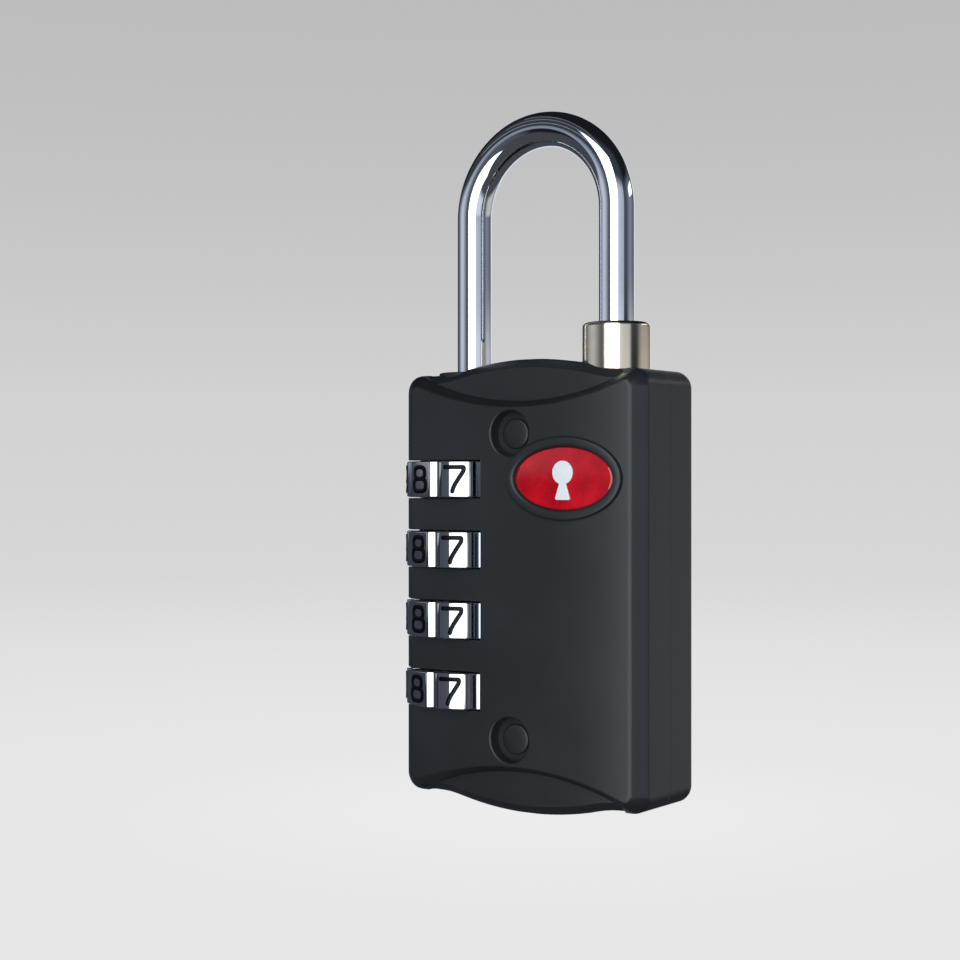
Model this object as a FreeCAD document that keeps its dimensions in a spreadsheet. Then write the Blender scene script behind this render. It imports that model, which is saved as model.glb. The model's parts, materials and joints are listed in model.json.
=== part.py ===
import FreeCAD, Part
import math
import os

import Sketcher

# Luggage combination padlock with an inspection key lock.
# Casing frame: X to the right, front face towards -Y, Z up, casing centre at the origin.
# Every piece is then moved by one shift, so that the part's origin is the inside of the
# shackle's crown, where the lock hangs.

SIZES = {
    # casing
    "casing_width": 25.7,
    "casing_margin": 9.60,
    "casing_depth": 10.08,
    "cover_depth": 1.17,
    "side_bevel": 1.17,
    "arc_bevel": 0.60,
    "corner_radius": 1.60,
    "face_corner_radius": 1.30,
    "cover_dip": 2.55,
    "dome_rise": 1.20,
    "dome_radius": 30.0,
    "dome_edge": 0.75,
    "dome_edge_end": 10.0,
    # shackle
    "shackle_diameter": 3.20,
    "leg_spacing": 15.4,
    "dial_axis_x": -8.0,
    "crown_height": 23.9,
    "leg_tail": 0.70,
    "toe_depth": 1.60,
    "leg_end_bevel": 0.15,
    "fin_reach": 2.50,
    "fin_width": 1.00,
    "fin_height": 1.30,
    # dials
    "dial_count": 4,
    "dial_pitch": 6.40,
    "dial_height": 3.30,
    "dial_radius": 6.35,
    "dial_groove": 0.38,
    "facet_count": 10,
    "facet_angle": 27.0,
    "dial_rest_1": 0.0,
    "dial_rest_2": -2.0,
    "dial_rest_3": -2.0,
    "dial_rest_4": -4.0,
    "pocket_gap": 0.10,
    # hubs
    "hub_radius": 3.50,
    "hub_gap": 0.20,
    "spline_rise": 0.30,
    "spline_width": 0.90,
    "web_height": 1.20,
    "web_base": 0.45,
    "hub_groove_depth": 0.40,
    "hub_groove_height": 0.70,
    "hub_lip": 0.30,
    # clearances
    "running_gap": 0.10,
    "seat_gap": 0.05,
    "fin_gap": 0.20,
    "fin_end_gap": 0.20,
    "cut_margin": 1.00,
    "slide_gap": 0.15,
    # guide bush and toe collar
    "bush_flange_radius": 3.30,
    "bush_flange_rise": 0.30,
    "bush_flange_height": 0.90,
    "bush_neck_radius": 2.50,
    "bush_foot_radius": 3.00,
    "bush_foot_height": 0.60,
    "bush_length": 2.90,
    "collar_radius": 3.07,
    "collar_rise": 4.30,
    "collar_root": 3.40,
    "collar_flange_radius": 3.60,
    "collar_flange_height": 1.00,
    "collar_floor": 1.40,
    "collar_round": 0.40,
    # lift spring
    "spring_wire": 0.35,
    "spring_radius": 1.20,
    "spring_turns": 5.0,
    "spring_room": 3.20,
    # key lock
    "key_face_inset": 0.10,
    "shell_radius": 3.30,
    "shell_length": 13.0,
    "shell_flange": 0.30,
    "shell_flange_height": 1.00,
    "plug_radius": 2.30,
    "keyway_width": 0.90,
    "keyway_length": 3.00,
    "keyway_depth": 12.0,
    "wafer_count": 5,
    "wafer_pitch": 2.00,
    "wafer_first": 3.00,
    "wafer_thickness": 0.50,
    "wafer_width": 2.20,
    "wafer_length": 3.80,
    "clip_thickness": 0.40,
    "clip_radius": 2.90,
    "clip_neck_radius": 1.70,
    "clip_opening": 2.60,
    "cam_radius": 2.40,
    "cam_height": 1.00,
    "cam_square": 1.60,
    "cam_socket_depth": 0.60,
    "tail_height": 0.50,
    "cam_pin_radius": 0.50,
    "cam_pin_height": 1.00,
    "cam_throw": 1.10,
    # hub retainer slide
    "retainer_x": 0.40,
    "retainer_width": 1.40,
    "retainer_thickness": 1.20,
    "tab_thickness": 0.50,
    "tab_bite": 0.30,
    "foot_height": 0.80,
    "foot_width": 4.40,
    "foot_margin": 1.20,
    # detent spring
    "detent_thickness": 0.25,
    "detent_width": 1.80,
    "detent_offset": 1.20,
    "detent_overhang": 2.60,
    "detent_bump": 0.24,
    "detent_bump_height": 2.00,
    # rivets
    "rivet_x": -0.72,
    "rivet_offset": 1.00,
    "rivet_recess_radius": 2.00,
    "rivet_recess_depth": 1.30,
    "rivet_head_radius": 1.40,
    "rivet_head_height": 0.40,
    "rivet_shank_radius": 0.90,
    "rivet_boss_radius": 2.60,
    "rivet_boss_depth": 0.83,
    # badge
    "badge_x": 5.00,
    "badge_z": 9.66,
    "badge_width": 12.0,
    "badge_height": 7.40,
    "badge_band": 0.90,
    "badge_rise": 0.40,
    "badge_seat": 0.40,
    "insert_rise": 0.15,
    "mark_radius": 1.05,
    "mark_eye_height": 0.52,
    "mark_stem": 1.90,
    "mark_neck_width": 0.70,
    "mark_foot_width": 1.60,
    "mark_rise": 0.10,
}

HALF_WIDTH = "(Sizes.casing_width / 2)"
TOP_DIAL_Z = "(Sizes.dial_pitch * (Sizes.dial_count - 1) / 2)"
HALF_HEIGHT = f"({TOP_DIAL_Z} + Sizes.casing_margin)"
HALF_DEPTH = "(Sizes.casing_depth / 2)"
FRAME_DEPTH = "(Sizes.casing_depth / 2 - Sizes.cover_depth)"
TOE_X = "(Sizes.dial_axis_x + Sizes.leg_spacing)"
LEG_RADIUS = "(Sizes.shackle_diameter / 2)"
BOW_RADIUS = "(Sizes.leg_spacing / 2)"
CROWN_TOP = f"({HALF_HEIGHT} + Sizes.crown_height)"
BOW_Z = f"({CROWN_TOP} - {LEG_RADIUS} - {BOW_RADIUS})"
SHIFT_X = f"(-Sizes.dial_axis_x - {BOW_RADIUS})"
SHIFT_Z = f"(Sizes.shackle_diameter - {CROWN_TOP})"

HUB_HALF = "((Sizes.dial_pitch - Sizes.hub_gap) / 2)"
HUB_BORE = "(Sizes.fin_reach + Sizes.fin_end_gap)"
LEG_BORE = f"({LEG_RADIUS} + Sizes.running_gap)"
HUB_ROOM = "(Sizes.hub_radius + Sizes.running_gap)"
WINDOW_HALF = "(Sizes.dial_height / 2 + Sizes.pocket_gap)"
POCKET_RADIUS = "(Sizes.dial_radius + Sizes.pocket_gap)"
FIN_TOP = "(Sizes.web_base - Sizes.fin_gap)"
HUB_TOP_Z = f"({TOP_DIAL_Z} + {HUB_HALF})"
LEG_END_Z = f"(-{HUB_TOP_Z} - Sizes.leg_tail)"
TOE_END_Z = f"({HALF_HEIGHT} - Sizes.toe_depth)"
SPRING_FLOOR_Z = f"({LEG_END_Z} - Sizes.spring_room)"
TAB_Z = f"({HUB_HALF} - Sizes.hub_lip - Sizes.hub_groove_height / 2)"
BUSH_TOP_Z = f"({HALF_HEIGHT} + Sizes.bush_flange_rise)"
BUSH_FOOT_Z = f"({BUSH_TOP_Z} - Sizes.bush_length)"
COLLAR_FOOT_Z = f"({HALF_HEIGHT} - Sizes.collar_root)"
KEY_FACE_Z = f"(Sizes.key_face_inset - {HALF_HEIGHT})"
SHELL_TOP_Z = f"({KEY_FACE_Z} + Sizes.shell_length)"
CLIP_Z = f"({SHELL_TOP_Z} + Sizes.running_gap)"
CAM_Z = f"({CLIP_Z} + Sizes.clip_thickness + Sizes.running_gap)"
RIVET_HOLE = "(Sizes.rivet_shank_radius + Sizes.seat_gap)"
RIVET_SEAT = "(Sizes.rivet_boss_radius + Sizes.seat_gap)"
BADGE_INNER_WIDTH = "(Sizes.badge_width - 2 * Sizes.badge_band)"
BADGE_INNER_HEIGHT = "(Sizes.badge_height - 2 * Sizes.badge_band)"
FOOT_Z = f"({CAM_Z} + Sizes.cam_height + Sizes.slide_gap)"
DETENT_X = f"(Sizes.dial_axis_x + {POCKET_RADIUS} - Sizes.seat_gap)"
DETENT_END_Z = f"({TOP_DIAL_Z} + Sizes.detent_overhang)"
RIVET_Z = f"({HUB_TOP_Z} + Sizes.rivet_offset)"
CAM_HALF_STROKE = "(Sizes.cam_throw * sin(45 deg))"
STROKE = f"(2 * {CAM_HALF_STROKE})"
STACK = "(Sizes.dial_pitch * (Sizes.dial_count - 1))"
WAFER_STACK = "(Sizes.wafer_pitch * (Sizes.wafer_count - 1))"
TOLERANCE = 1e-3

doc = FreeCAD.newDocument("padlock")
sheet = doc.addObject("Spreadsheet::Sheet", "Sizes")
for row, (alias, value) in enumerate(SIZES.items(), start=1):
    sheet.set(f"A{row}", alias)
    sheet.set(f"B{row}", str(value))
    sheet.setAlias(f"B{row}", alias)
doc.recompute()


def place(piece, x="0", y="0", z="0", turned=None):
    """Put a piece at a point of the casing, shifted to the part's origin and turned about +Z."""
    if turned:
        piece.Placement.Rotation = FreeCAD.Rotation(FreeCAD.Vector(0, 0, 1), 1.0)
        piece.setExpression("Placement.Rotation.Angle", turned)
    piece.setExpression("Placement.Base.x", f"{SHIFT_X} + {x}")
    piece.setExpression("Placement.Base.y", y)
    piece.setExpression("Placement.Base.z", f"{SHIFT_Z} + {z}")


def new_body(name, x="0", y="0", z="0", turned=None):
    """An empty body that stands at a point of the casing."""
    body = doc.addObject("PartDesign::Body", name)
    body.Label = name
    place(body, x, y, z, turned)
    return body


def new_sketch(body, role, offset=("0", "0", "0")):
    """A sketch on one of the body's origin planes, moved by expressions in the plane's own axes."""
    plane = next(item for item in body.Origin.OriginFeatures if item.Role == role)
    sketch = body.newObject("Sketcher::SketchObject", f"{body.Name}_sketch")
    sketch.AttachmentSupport = [(plane, "")]
    sketch.MapMode = "FlatFace"
    for axis, text in zip("xyz", offset):
        sketch.setExpression(f"AttachmentOffset.Base.{axis}", text)
    return sketch


def bind(sketch, constraint, text):
    """Add a dimension to a sketch and tie it to an expression."""
    index = sketch.addConstraint(constraint)
    sketch.setExpression(f"Constraints[{index}]", text)


def number(sketch, text):
    """The present value of an expression, as a plain number."""
    value = sketch.evalExpression(text)
    return float(getattr(value, "Value", value))


def outline(sketch, points, radii=None):
    """Draw a closed outline through points given as expression pairs.

    radii names the edges that are arcs: edge number to (radius expression, bulge), where a
    bulge of 1 turns the arc to the right of its chord and -1 to the left.
    """
    radii = radii or {}
    corners = [FreeCAD.Vector(number(sketch, x), number(sketch, y), 0) for x, y in points]
    count = len(points)
    starts = []
    ends = []
    for index, start in enumerate(corners):
        end = corners[(index + 1) % count]
        if index not in radii:
            geometry = sketch.addGeometry(Part.LineSegment(start, end))
            starts.append((geometry, 1))
            ends.append((geometry, 2))
            continue
        radius = number(sketch, radii[index][0])
        bulge = radii[index][1]
        chord = end - start
        side = FreeCAD.Vector(chord.y, -chord.x, 0).normalize() * bulge
        centre = (start + end) / 2 - side * (radius**2 - (chord.Length / 2) ** 2) ** 0.5
        first, last = (start, end) if bulge > 0 else (end, start)
        angles = [math.atan2(point.y - centre.y, point.x - centre.x) for point in (first, last)]
        whole = Part.Circle(centre, FreeCAD.Vector(0, 0, 1), radius)
        geometry = sketch.addGeometry(Part.ArcOfCircle(whole, *angles))
        starts.append((geometry, 1 if bulge > 0 else 2))
        ends.append((geometry, 2 if bulge > 0 else 1))
        bind(sketch, Sketcher.Constraint("Radius", geometry, radius), radii[index][0])
    for index, (x, y) in enumerate(points):
        after = (index + 1) % count
        sketch.addConstraint(Sketcher.Constraint("Coincident", *ends[index], *starts[after]))
        bind(sketch, Sketcher.Constraint("DistanceX", *starts[index], corners[index].x), x)
        bind(sketch, Sketcher.Constraint("DistanceY", *starts[index], corners[index].y), y)


def box_outline(sketch, left, right, low, high):
    """Draw a rectangle between four expressions."""
    outline(sketch, [(left, low), (right, low), (right, high), (left, high)])


def circle(sketch, radius, x="0", y="0"):
    """Draw a circle with its centre and radius tied to expressions."""
    centre = FreeCAD.Vector(number(sketch, x), number(sketch, y), 0)
    size = number(sketch, radius)
    geometry = sketch.addGeometry(Part.Circle(centre, FreeCAD.Vector(0, 0, 1), size))
    bind(sketch, Sketcher.Constraint("DistanceX", geometry, 3, centre.x), x)
    bind(sketch, Sketcher.Constraint("DistanceY", geometry, 3, centre.y), y)
    bind(sketch, Sketcher.Constraint("Radius", geometry, size), radius)


def oval(sketch, width, height, x="0", y="0"):
    """Draw an upright ellipse with both axes tied to expressions."""
    centre = FreeCAD.Vector(number(sketch, x), number(sketch, y), 0)
    major = FreeCAD.Vector(number(sketch, width) / 2, 0, 0)
    minor = FreeCAD.Vector(0, number(sketch, height) / 2, 0)
    geometry = sketch.addGeometry(Part.Ellipse(centre + major, centre + minor, centre))
    wide = sketch.addGeometry(Part.LineSegment(centre - major, centre + major), True)
    tall = sketch.addGeometry(Part.LineSegment(centre - minor, centre + minor), True)
    rule = Sketcher.Constraint
    sketch.addConstraint(rule("InternalAlignment:EllipseMajorDiameter", wide, geometry))
    sketch.addConstraint(rule("InternalAlignment:EllipseMinorDiameter", tall, geometry))
    sketch.addConstraint(rule("Horizontal", wide))
    bind(sketch, rule("DistanceX", geometry, 3, centre.x), x)
    bind(sketch, rule("DistanceY", geometry, 3, centre.y), y)
    bind(sketch, rule("Distance", wide, 2 * major.x), width)
    bind(sketch, rule("Distance", tall, 2 * minor.y), height)


def extrude(kind, sketch, length, reverse=False, both_ways=False):
    """Pad or pocket a sketch, and check that it changed the body the right way."""
    body = sketch.getParentGeoFeatureGroup()
    before = body.Shape.Volume if body.Tip else 0.0
    feature = body.newObject(f"PartDesign::{kind}", f"{body.Name}_{kind}")
    feature.Profile = sketch
    feature.setExpression("Length", length)
    feature.Reversed = reverse
    if both_ways:
        feature.SideType = "Symmetric"
    doc.recompute()
    check_change(body, kind == "Pad", before)
    return feature


def turn(kind, sketch, degrees=360.0):
    """Revolve or groove a sketch about its own vertical axis."""
    body = sketch.getParentGeoFeatureGroup()
    before = body.Shape.Volume if body.Tip else 0.0
    feature = body.newObject(f"PartDesign::{kind}", f"{body.Name}_{kind}")
    feature.Profile = sketch
    feature.ReferenceAxis = (sketch, ["V_Axis"])
    feature.Angle = degrees
    doc.recompute()
    check_change(body, kind == "Revolution", before)
    return feature


def check_change(body, grows, before):
    """Stop when a feature left the body as it was."""
    after = body.Shape.Volume
    if (after - before) * (1 if grows else -1) <= 1e-6:
        raise RuntimeError(f"{body.Label}: a feature changed nothing ({before:.4f} to {after:.4f})")


def ring_pattern(feature, count):
    """Repeat a feature evenly round the body's Z axis."""
    body = feature.getParentGeoFeatureGroup()
    pattern = body.newObject("PartDesign::PolarPattern", f"{body.Name}_ring")
    pattern.Originals = [feature]
    pattern.Axis = (next(o for o in body.Origin.OriginFeatures if o.Role == "Z_Axis"), [""])
    pattern.Angle = 360.0
    pattern.setExpression("Occurrences", count)
    body.Tip = pattern
    doc.recompute()
    return pattern


def column_pattern(feature, length, count, downward=True):
    """Repeat a feature along the body's Z axis."""
    body = feature.getParentGeoFeatureGroup()
    pattern = body.newObject("PartDesign::LinearPattern", f"{body.Name}_column")
    pattern.Originals = [feature]
    pattern.Direction = (next(o for o in body.Origin.OriginFeatures if o.Role == "Z_Axis"), [""])
    pattern.Reversed = downward
    pattern.setExpression("Length", length)
    pattern.setExpression("Occurrences", count)
    body.Tip = pattern
    doc.recompute()
    return pattern


def dress(body, kind, size, edges):
    """Round or bevel the body's edges that pass a test."""
    base = body.Tip
    names = [f"Edge{n}" for n, edge in enumerate(base.Shape.Edges, start=1) if edges(edge)]
    if not names:
        raise RuntimeError(f"{body.Label}: no edge to dress")
    feature = body.newObject(f"PartDesign::{kind}", f"{body.Name}_{kind}")
    feature.Base = (base, names)
    feature.setExpression("Radius" if kind == "Fillet" else "Size", size)
    body.Tip = feature
    doc.recompute()
    return feature


def spun(name, points, x, z="0"):
    """A body of revolution about a vertical axis of the casing, from (radius, height) pairs."""
    body = new_body(name, x, "0", z)
    sketch = new_sketch(body, "XZ_Plane")
    outline(sketch, points)
    turn("Revolution", sketch)
    return body


# ---------------------------------------------------------------- casing

def frame_outline(sketch):
    """The frame seen from the front: rounded corners, flat shoulders and a shallow dome each end."""
    side = HALF_WIDTH
    shoulder = HALF_HEIGHT
    corner = f"({side} - Sizes.corner_radius)"
    low_corner = f"({shoulder} - Sizes.corner_radius)"
    rise = "Sizes.dome_rise"
    dome = f"sqrt(2 * Sizes.dome_radius * {rise} - {rise} * {rise})"
    ledge = "Sizes.dome_edge_end"
    points = [
        (f"-{side}", f"-{low_corner}"), (f"-{side}", low_corner), (f"-{corner}", shoulder),
        (f"-{ledge}", shoulder), (f"-{dome}", shoulder), (dome, shoulder), (ledge, shoulder),
        (corner, shoulder), (side, low_corner), (side, f"-{low_corner}"), (corner, f"-{shoulder}"),
        (ledge, f"-{shoulder}"), (dome, f"-{shoulder}"), (f"-{dome}", f"-{shoulder}"),
        (f"-{ledge}", f"-{shoulder}"), (f"-{corner}", f"-{shoulder}"),
    ]
    bend = ("Sizes.corner_radius", -1)
    crown = ("Sizes.dome_radius", -1)
    outline(sketch, points, {1: bend, 4: crown, 7: bend, 9: bend, 12: crown, 15: bend})


def cover_outline(sketch, inset, arc_inset, rounding):
    """A cover seen from the front: rounded corners, with one long concave arc at each end."""
    side = f"({HALF_WIDTH} - {inset})"
    corner = f"({side} - {rounding})"
    top = f"({HALF_HEIGHT} - {arc_inset})"
    low_corner = f"({top} - {rounding})"
    dip = "Sizes.cover_dip"
    sweep = f"(({corner} * {corner} + {dip} * {dip}) / (2 * {dip}))"
    points = [
        (f"-{side}", f"-{low_corner}"), (f"-{side}", low_corner), (f"-{corner}", top),
        (corner, top), (side, low_corner), (side, f"-{low_corner}"),
        (corner, f"-{top}"), (f"-{corner}", f"-{top}"),
    ]
    bend = (rounding, -1)
    bow = (sweep, 1)
    outline(sketch, points, {1: bend, 2: bow, 3: bend, 5: bend, 6: bow, 7: bend})


def cut_dial_pockets(body):
    """Cut the four round dial pockets, which break out as windows in the face and the side."""
    sketch = new_sketch(body, "XZ_Plane", ("Sizes.dial_axis_x", "0", "0"))
    low = f"{TOP_DIAL_Z} - {WINDOW_HALF}"
    high = f"{TOP_DIAL_Z} + {WINDOW_HALF}"
    box_outline(sketch, "0", POCKET_RADIUS, low, high)
    pocket = turn("Groove", sketch)
    column_pattern(pocket, STACK, "Sizes.dial_count")


def cover(name, side):
    """A bevelled cover plate. side is -1 for the front and 1 for the back."""
    body = new_body(name)
    back = new_sketch(body, "XZ_Plane", ("0", "0", f"{-side} * {FRAME_DEPTH}"))
    cover_outline(back, "0", "0", "Sizes.corner_radius")
    face = new_sketch(body, "XZ_Plane", ("0", "0", f"{-side} * {HALF_DEPTH}"))
    cover_outline(face, "Sizes.side_bevel", "Sizes.arc_bevel", "Sizes.face_corner_radius")
    loft = body.newObject("PartDesign::AdditiveLoft", f"{name}_plate")
    loft.Profile = back
    loft.Sections = [face]
    loft.Ruled = True
    doc.recompute()
    for sign in ("", "-"):
        boss = new_sketch(body, "XZ_Plane", ("0", "0", f"{-side} * {FRAME_DEPTH}"))
        circle(boss, "Sizes.rivet_boss_radius", "Sizes.rivet_x", f"{sign}{RIVET_Z}")
        extrude("Pad", boss, "Sizes.rivet_boss_depth", reverse=side < 0)
        recess = new_sketch(body, "XZ_Plane", ("0", "0", f"{-side} * {HALF_DEPTH}"))
        circle(recess, "Sizes.rivet_recess_radius", "Sizes.rivet_x", f"{sign}{RIVET_Z}")
        extrude("Pocket", recess, "Sizes.rivet_recess_depth", reverse=side > 0)
        hole = new_sketch(body, "XZ_Plane")
        circle(hole, RIVET_HOLE, "Sizes.rivet_x", f"{sign}{RIVET_Z}")
        extrude("Pocket", hole, "2 * Sizes.casing_depth", both_ways=True)
    cut_dial_pockets(body)
    return body


def frame_half(name, side):
    """One half of the inner frame, split at the mid-plane. side is -1 for the front, 1 for the back."""
    body = new_body(name)
    plate = new_sketch(body, "XZ_Plane")
    frame_outline(plate)
    extrude("Pad", plate, FRAME_DEPTH, reverse=side > 0)

    def on_dome_edge(edge):
        box = edge.BoundBox
        outer = abs(edge.CenterOfMass.y - side * number(body, FRAME_DEPTH)) < TOLERANCE
        end = abs(edge.CenterOfMass.z) > number(body, HALF_HEIGHT) - TOLERANCE
        reach = number(body, "Sizes.dome_edge_end") + TOLERANCE
        return outer and end and max(-box.XMin, box.XMax) < reach

    dress(body, "Chamfer", "Sizes.dome_edge", on_dome_edge)
    for sign in ("", "-"):
        seat = new_sketch(body, "XZ_Plane", ("0", "0", f"{-side} * {FRAME_DEPTH}"))
        circle(seat, RIVET_SEAT, "Sizes.rivet_x", f"{sign}{RIVET_Z}")
        extrude("Pocket", seat, "Sizes.rivet_boss_depth + Sizes.seat_gap", reverse=side > 0)
        hole = new_sketch(body, "XZ_Plane")
        circle(hole, RIVET_HOLE, "Sizes.rivet_x", f"{sign}{RIVET_Z}")
        extrude("Pocket", hole, "2 * Sizes.casing_depth", both_ways=True)
    cut_leg_bore(body)
    cut_dial_pockets(body)
    cut_toe_bore(body)
    cut_key_bore(body)
    cut_retainer_room(body, side)
    return body


def cut_leg_bore(body):
    """Bore for the guide bush, the lifted top fin, the hub stack, the leg's end and its spring."""
    sketch = new_sketch(body, "XZ_Plane", ("Sizes.dial_axis_x", "0", "0"))
    flange = "Sizes.bush_flange_radius + Sizes.seat_gap"
    neck = "Sizes.bush_neck_radius + Sizes.seat_gap"
    foot = "Sizes.bush_foot_radius + Sizes.seat_gap"
    flange_z = f"({BUSH_TOP_Z} - Sizes.bush_flange_height - Sizes.seat_gap)"
    foot_top_z = f"({BUSH_FOOT_Z} + Sizes.bush_foot_height + Sizes.seat_gap)"
    foot_z = f"({BUSH_FOOT_Z} - Sizes.seat_gap)"
    hub_low_z = f"(-{HUB_TOP_Z} - Sizes.running_gap)"
    hub_high_z = f"({HUB_TOP_Z} + Sizes.running_gap)"
    above = f"({HALF_HEIGHT} + Sizes.dome_rise + Sizes.cut_margin)"
    outline(sketch, [
        ("0", above), (flange, above), (flange, flange_z), (neck, flange_z),
        (neck, foot_top_z), (foot, foot_top_z), (foot, foot_z), (HUB_BORE, foot_z),
        (HUB_BORE, hub_high_z), (HUB_ROOM, hub_high_z), (HUB_ROOM, hub_low_z),
        (LEG_BORE, hub_low_z), (LEG_BORE, SPRING_FLOOR_Z), ("0", SPRING_FLOOR_Z),
    ])
    turn("Groove", sketch)


def cut_toe_bore(body):
    """Stepped bore that holds the toe collar by its flange."""
    sketch = new_sketch(body, "XZ_Plane", (TOE_X, "0", "0"))
    sleeve = "Sizes.collar_radius + Sizes.seat_gap"
    flange = "Sizes.collar_flange_radius + Sizes.seat_gap"
    low = f"({COLLAR_FOOT_Z} - Sizes.seat_gap)"
    step = f"({COLLAR_FOOT_Z} + Sizes.collar_flange_height + Sizes.seat_gap)"
    above = f"({HALF_HEIGHT} + Sizes.dome_rise + Sizes.cut_margin)"
    outline(sketch, [
        ("0", low), (flange, low), (flange, step), (sleeve, step), (sleeve, above), ("0", above),
    ])
    turn("Groove", sketch)


def cut_key_bore(body):
    """Stepped bore for the key cylinder, and the round room for its clip and cam."""
    sketch = new_sketch(body, "XZ_Plane", (TOE_X, "0", "0"))
    sleeve = "Sizes.shell_radius + Sizes.seat_gap"
    flange = "Sizes.shell_radius + Sizes.shell_flange + Sizes.seat_gap"
    below = f"(-{HALF_HEIGHT} - Sizes.dome_rise - Sizes.cut_margin)"
    step = f"({SHELL_TOP_Z} - Sizes.shell_flange_height - Sizes.seat_gap)"
    top = f"({SHELL_TOP_Z} + Sizes.seat_gap)"
    room = "Sizes.clip_radius + Sizes.slide_gap"
    outline(sketch, [
        ("0", below), (sleeve, below), (sleeve, step), (flange, step), (flange, top),
        (room, top), (room, FOOT_Z), ("0", FOOT_Z),
    ])
    turn("Groove", sketch)


def cut_retainer_room(body, side):
    """Room for the hub retainer: its stem, its four tabs, and its foot over the cam."""
    gap = "Sizes.slide_gap"
    into = side > 0
    half = f"(Sizes.retainer_thickness / 2 + {gap})"
    left = f"(Sizes.retainer_x - {gap})"
    right = f"(Sizes.retainer_x + Sizes.retainer_width + {STROKE} + {gap})"
    tab_top = f"({TOP_DIAL_Z} + {TAB_Z} + Sizes.tab_thickness / 2 + {gap})"
    tab_low = f"({TOP_DIAL_Z} + {TAB_Z} - Sizes.tab_thickness / 2 - {gap})"
    stem_low = f"({tab_low} - {STACK})"
    stem = new_sketch(body, "XZ_Plane")
    box_outline(stem, left, right, stem_low, tab_top)
    extrude("Pocket", stem, half, reverse=not into)
    tab = new_sketch(body, "XZ_Plane")
    box_outline(tab, f"Sizes.dial_axis_x + Sizes.hub_radius - {gap}", left, tab_low, tab_top)
    slot = extrude("Pocket", tab, half, reverse=not into)
    column_pattern(slot, STACK, "Sizes.dial_count")
    foot = new_sketch(body, "XZ_Plane")
    foot_right = f"({TOE_X} + Sizes.cam_pin_radius + Sizes.foot_margin + {CAM_HALF_STROKE} + {gap})"
    box_outline(foot, left, foot_right, f"{FOOT_Z} - {gap}", f"{FOOT_Z} + Sizes.foot_height + {gap}")
    extrude("Pocket", foot, f"Sizes.foot_width / 2 + {gap}", reverse=not into)


def cut_detent_room(body):
    """Slot in the back frame half for the dials' leaf spring, open to the dial pockets."""
    gap = "Sizes.seat_gap"
    sketch = new_sketch(body, "XZ_Plane", ("0", "0", f"-(Sizes.detent_offset - {gap})"))
    left = f"({DETENT_X} - Sizes.detent_bump - {gap})"
    right = f"({DETENT_X} + Sizes.detent_thickness + {gap})"
    end = f"({DETENT_END_Z} + {gap})"
    box_outline(sketch, left, right, f"-{end}", end)
    extrude("Pocket", sketch, f"Sizes.detent_width + 2 * {gap}")


# ---------------------------------------------------------------- shackle

def shackle():
    """Round wire bent to a U, with a row of fins on the long leg."""
    body = new_body("shackle")
    for x, end in (("Sizes.dial_axis_x", LEG_END_Z), (TOE_X, TOE_END_Z)):
        leg = new_sketch(body, "XY_Plane", ("0", "0", end))
        circle(leg, LEG_RADIUS, x)
        extrude("Pad", leg, f"{BOW_Z} - {end}")
        if x != TOE_X:
            add_bow(body)

    def on_wire_end(edge):
        box = edge.BoundBox
        ends = (number(body, LEG_END_Z), number(body, TOE_END_Z))
        return box.ZLength < TOLERANCE and any(abs(box.ZMin - end) < TOLERANCE for end in ends)

    dress(body, "Chamfer", "Sizes.leg_end_bevel", on_wire_end)
    fin = new_sketch(body, "XZ_Plane")
    top = f"({TOP_DIAL_Z} + {FIN_TOP})"
    left = "Sizes.dial_axis_x"
    box_outline(fin, left, f"{left} + Sizes.fin_reach", f"{top} - Sizes.fin_height", top)
    pad = extrude("Pad", fin, "Sizes.fin_width", both_ways=True)
    column_pattern(pad, STACK, "Sizes.dial_count")
    return body


def add_bow(body):
    """Sweep the wire half a turn over the top, from the long leg to the toe."""
    section = new_sketch(body, "XY_Plane", (f"(Sizes.dial_axis_x + {BOW_RADIUS})", "0", BOW_Z))
    circle(section, LEG_RADIUS, f"-{BOW_RADIUS}")
    turn("Revolution", section, 180.0)


def guide_bush():
    """Flanged bush that guides the long leg and stops its top fin."""
    flange_z = f"({BUSH_TOP_Z} - Sizes.bush_flange_height)"
    foot_z = f"({BUSH_FOOT_Z} + Sizes.bush_foot_height)"
    flange = "Sizes.bush_flange_radius"
    neck = "Sizes.bush_neck_radius"
    foot = "Sizes.bush_foot_radius"
    return spun("leg_guide_bush", [
        (LEG_BORE, BUSH_FOOT_Z), (foot, BUSH_FOOT_Z), (foot, foot_z), (neck, foot_z),
        (neck, flange_z), (flange, flange_z), (flange, BUSH_TOP_Z), (LEG_BORE, BUSH_TOP_Z),
    ], "Sizes.dial_axis_x")


def toe_collar():
    """Cup that the shackle's toe drops into, held in the frame by its flange."""
    flange_z = f"({COLLAR_FOOT_Z} + Sizes.collar_flange_height)"
    top = f"({HALF_HEIGHT} + Sizes.collar_rise)"
    floor = f"({COLLAR_FOOT_Z} + Sizes.collar_floor)"
    sleeve = "Sizes.collar_radius"
    flange = "Sizes.collar_flange_radius"
    body = spun("toe_collar", [
        ("0", COLLAR_FOOT_Z), (flange, COLLAR_FOOT_Z), (flange, flange_z), (sleeve, flange_z),
        (sleeve, top), (LEG_BORE, top), (LEG_BORE, floor), ("0", floor),
    ], TOE_X)
    rim = max(edge.BoundBox.ZMax for edge in body.Tip.Shape.Edges)

    def on_outer_rim(edge):
        box = edge.BoundBox
        return box.ZMin > rim - TOLERANCE and box.XLength > 2 * number(body, sleeve) - TOLERANCE

    dress(body, "Fillet", "Sizes.collar_round", on_outer_rim)
    return body


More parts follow.
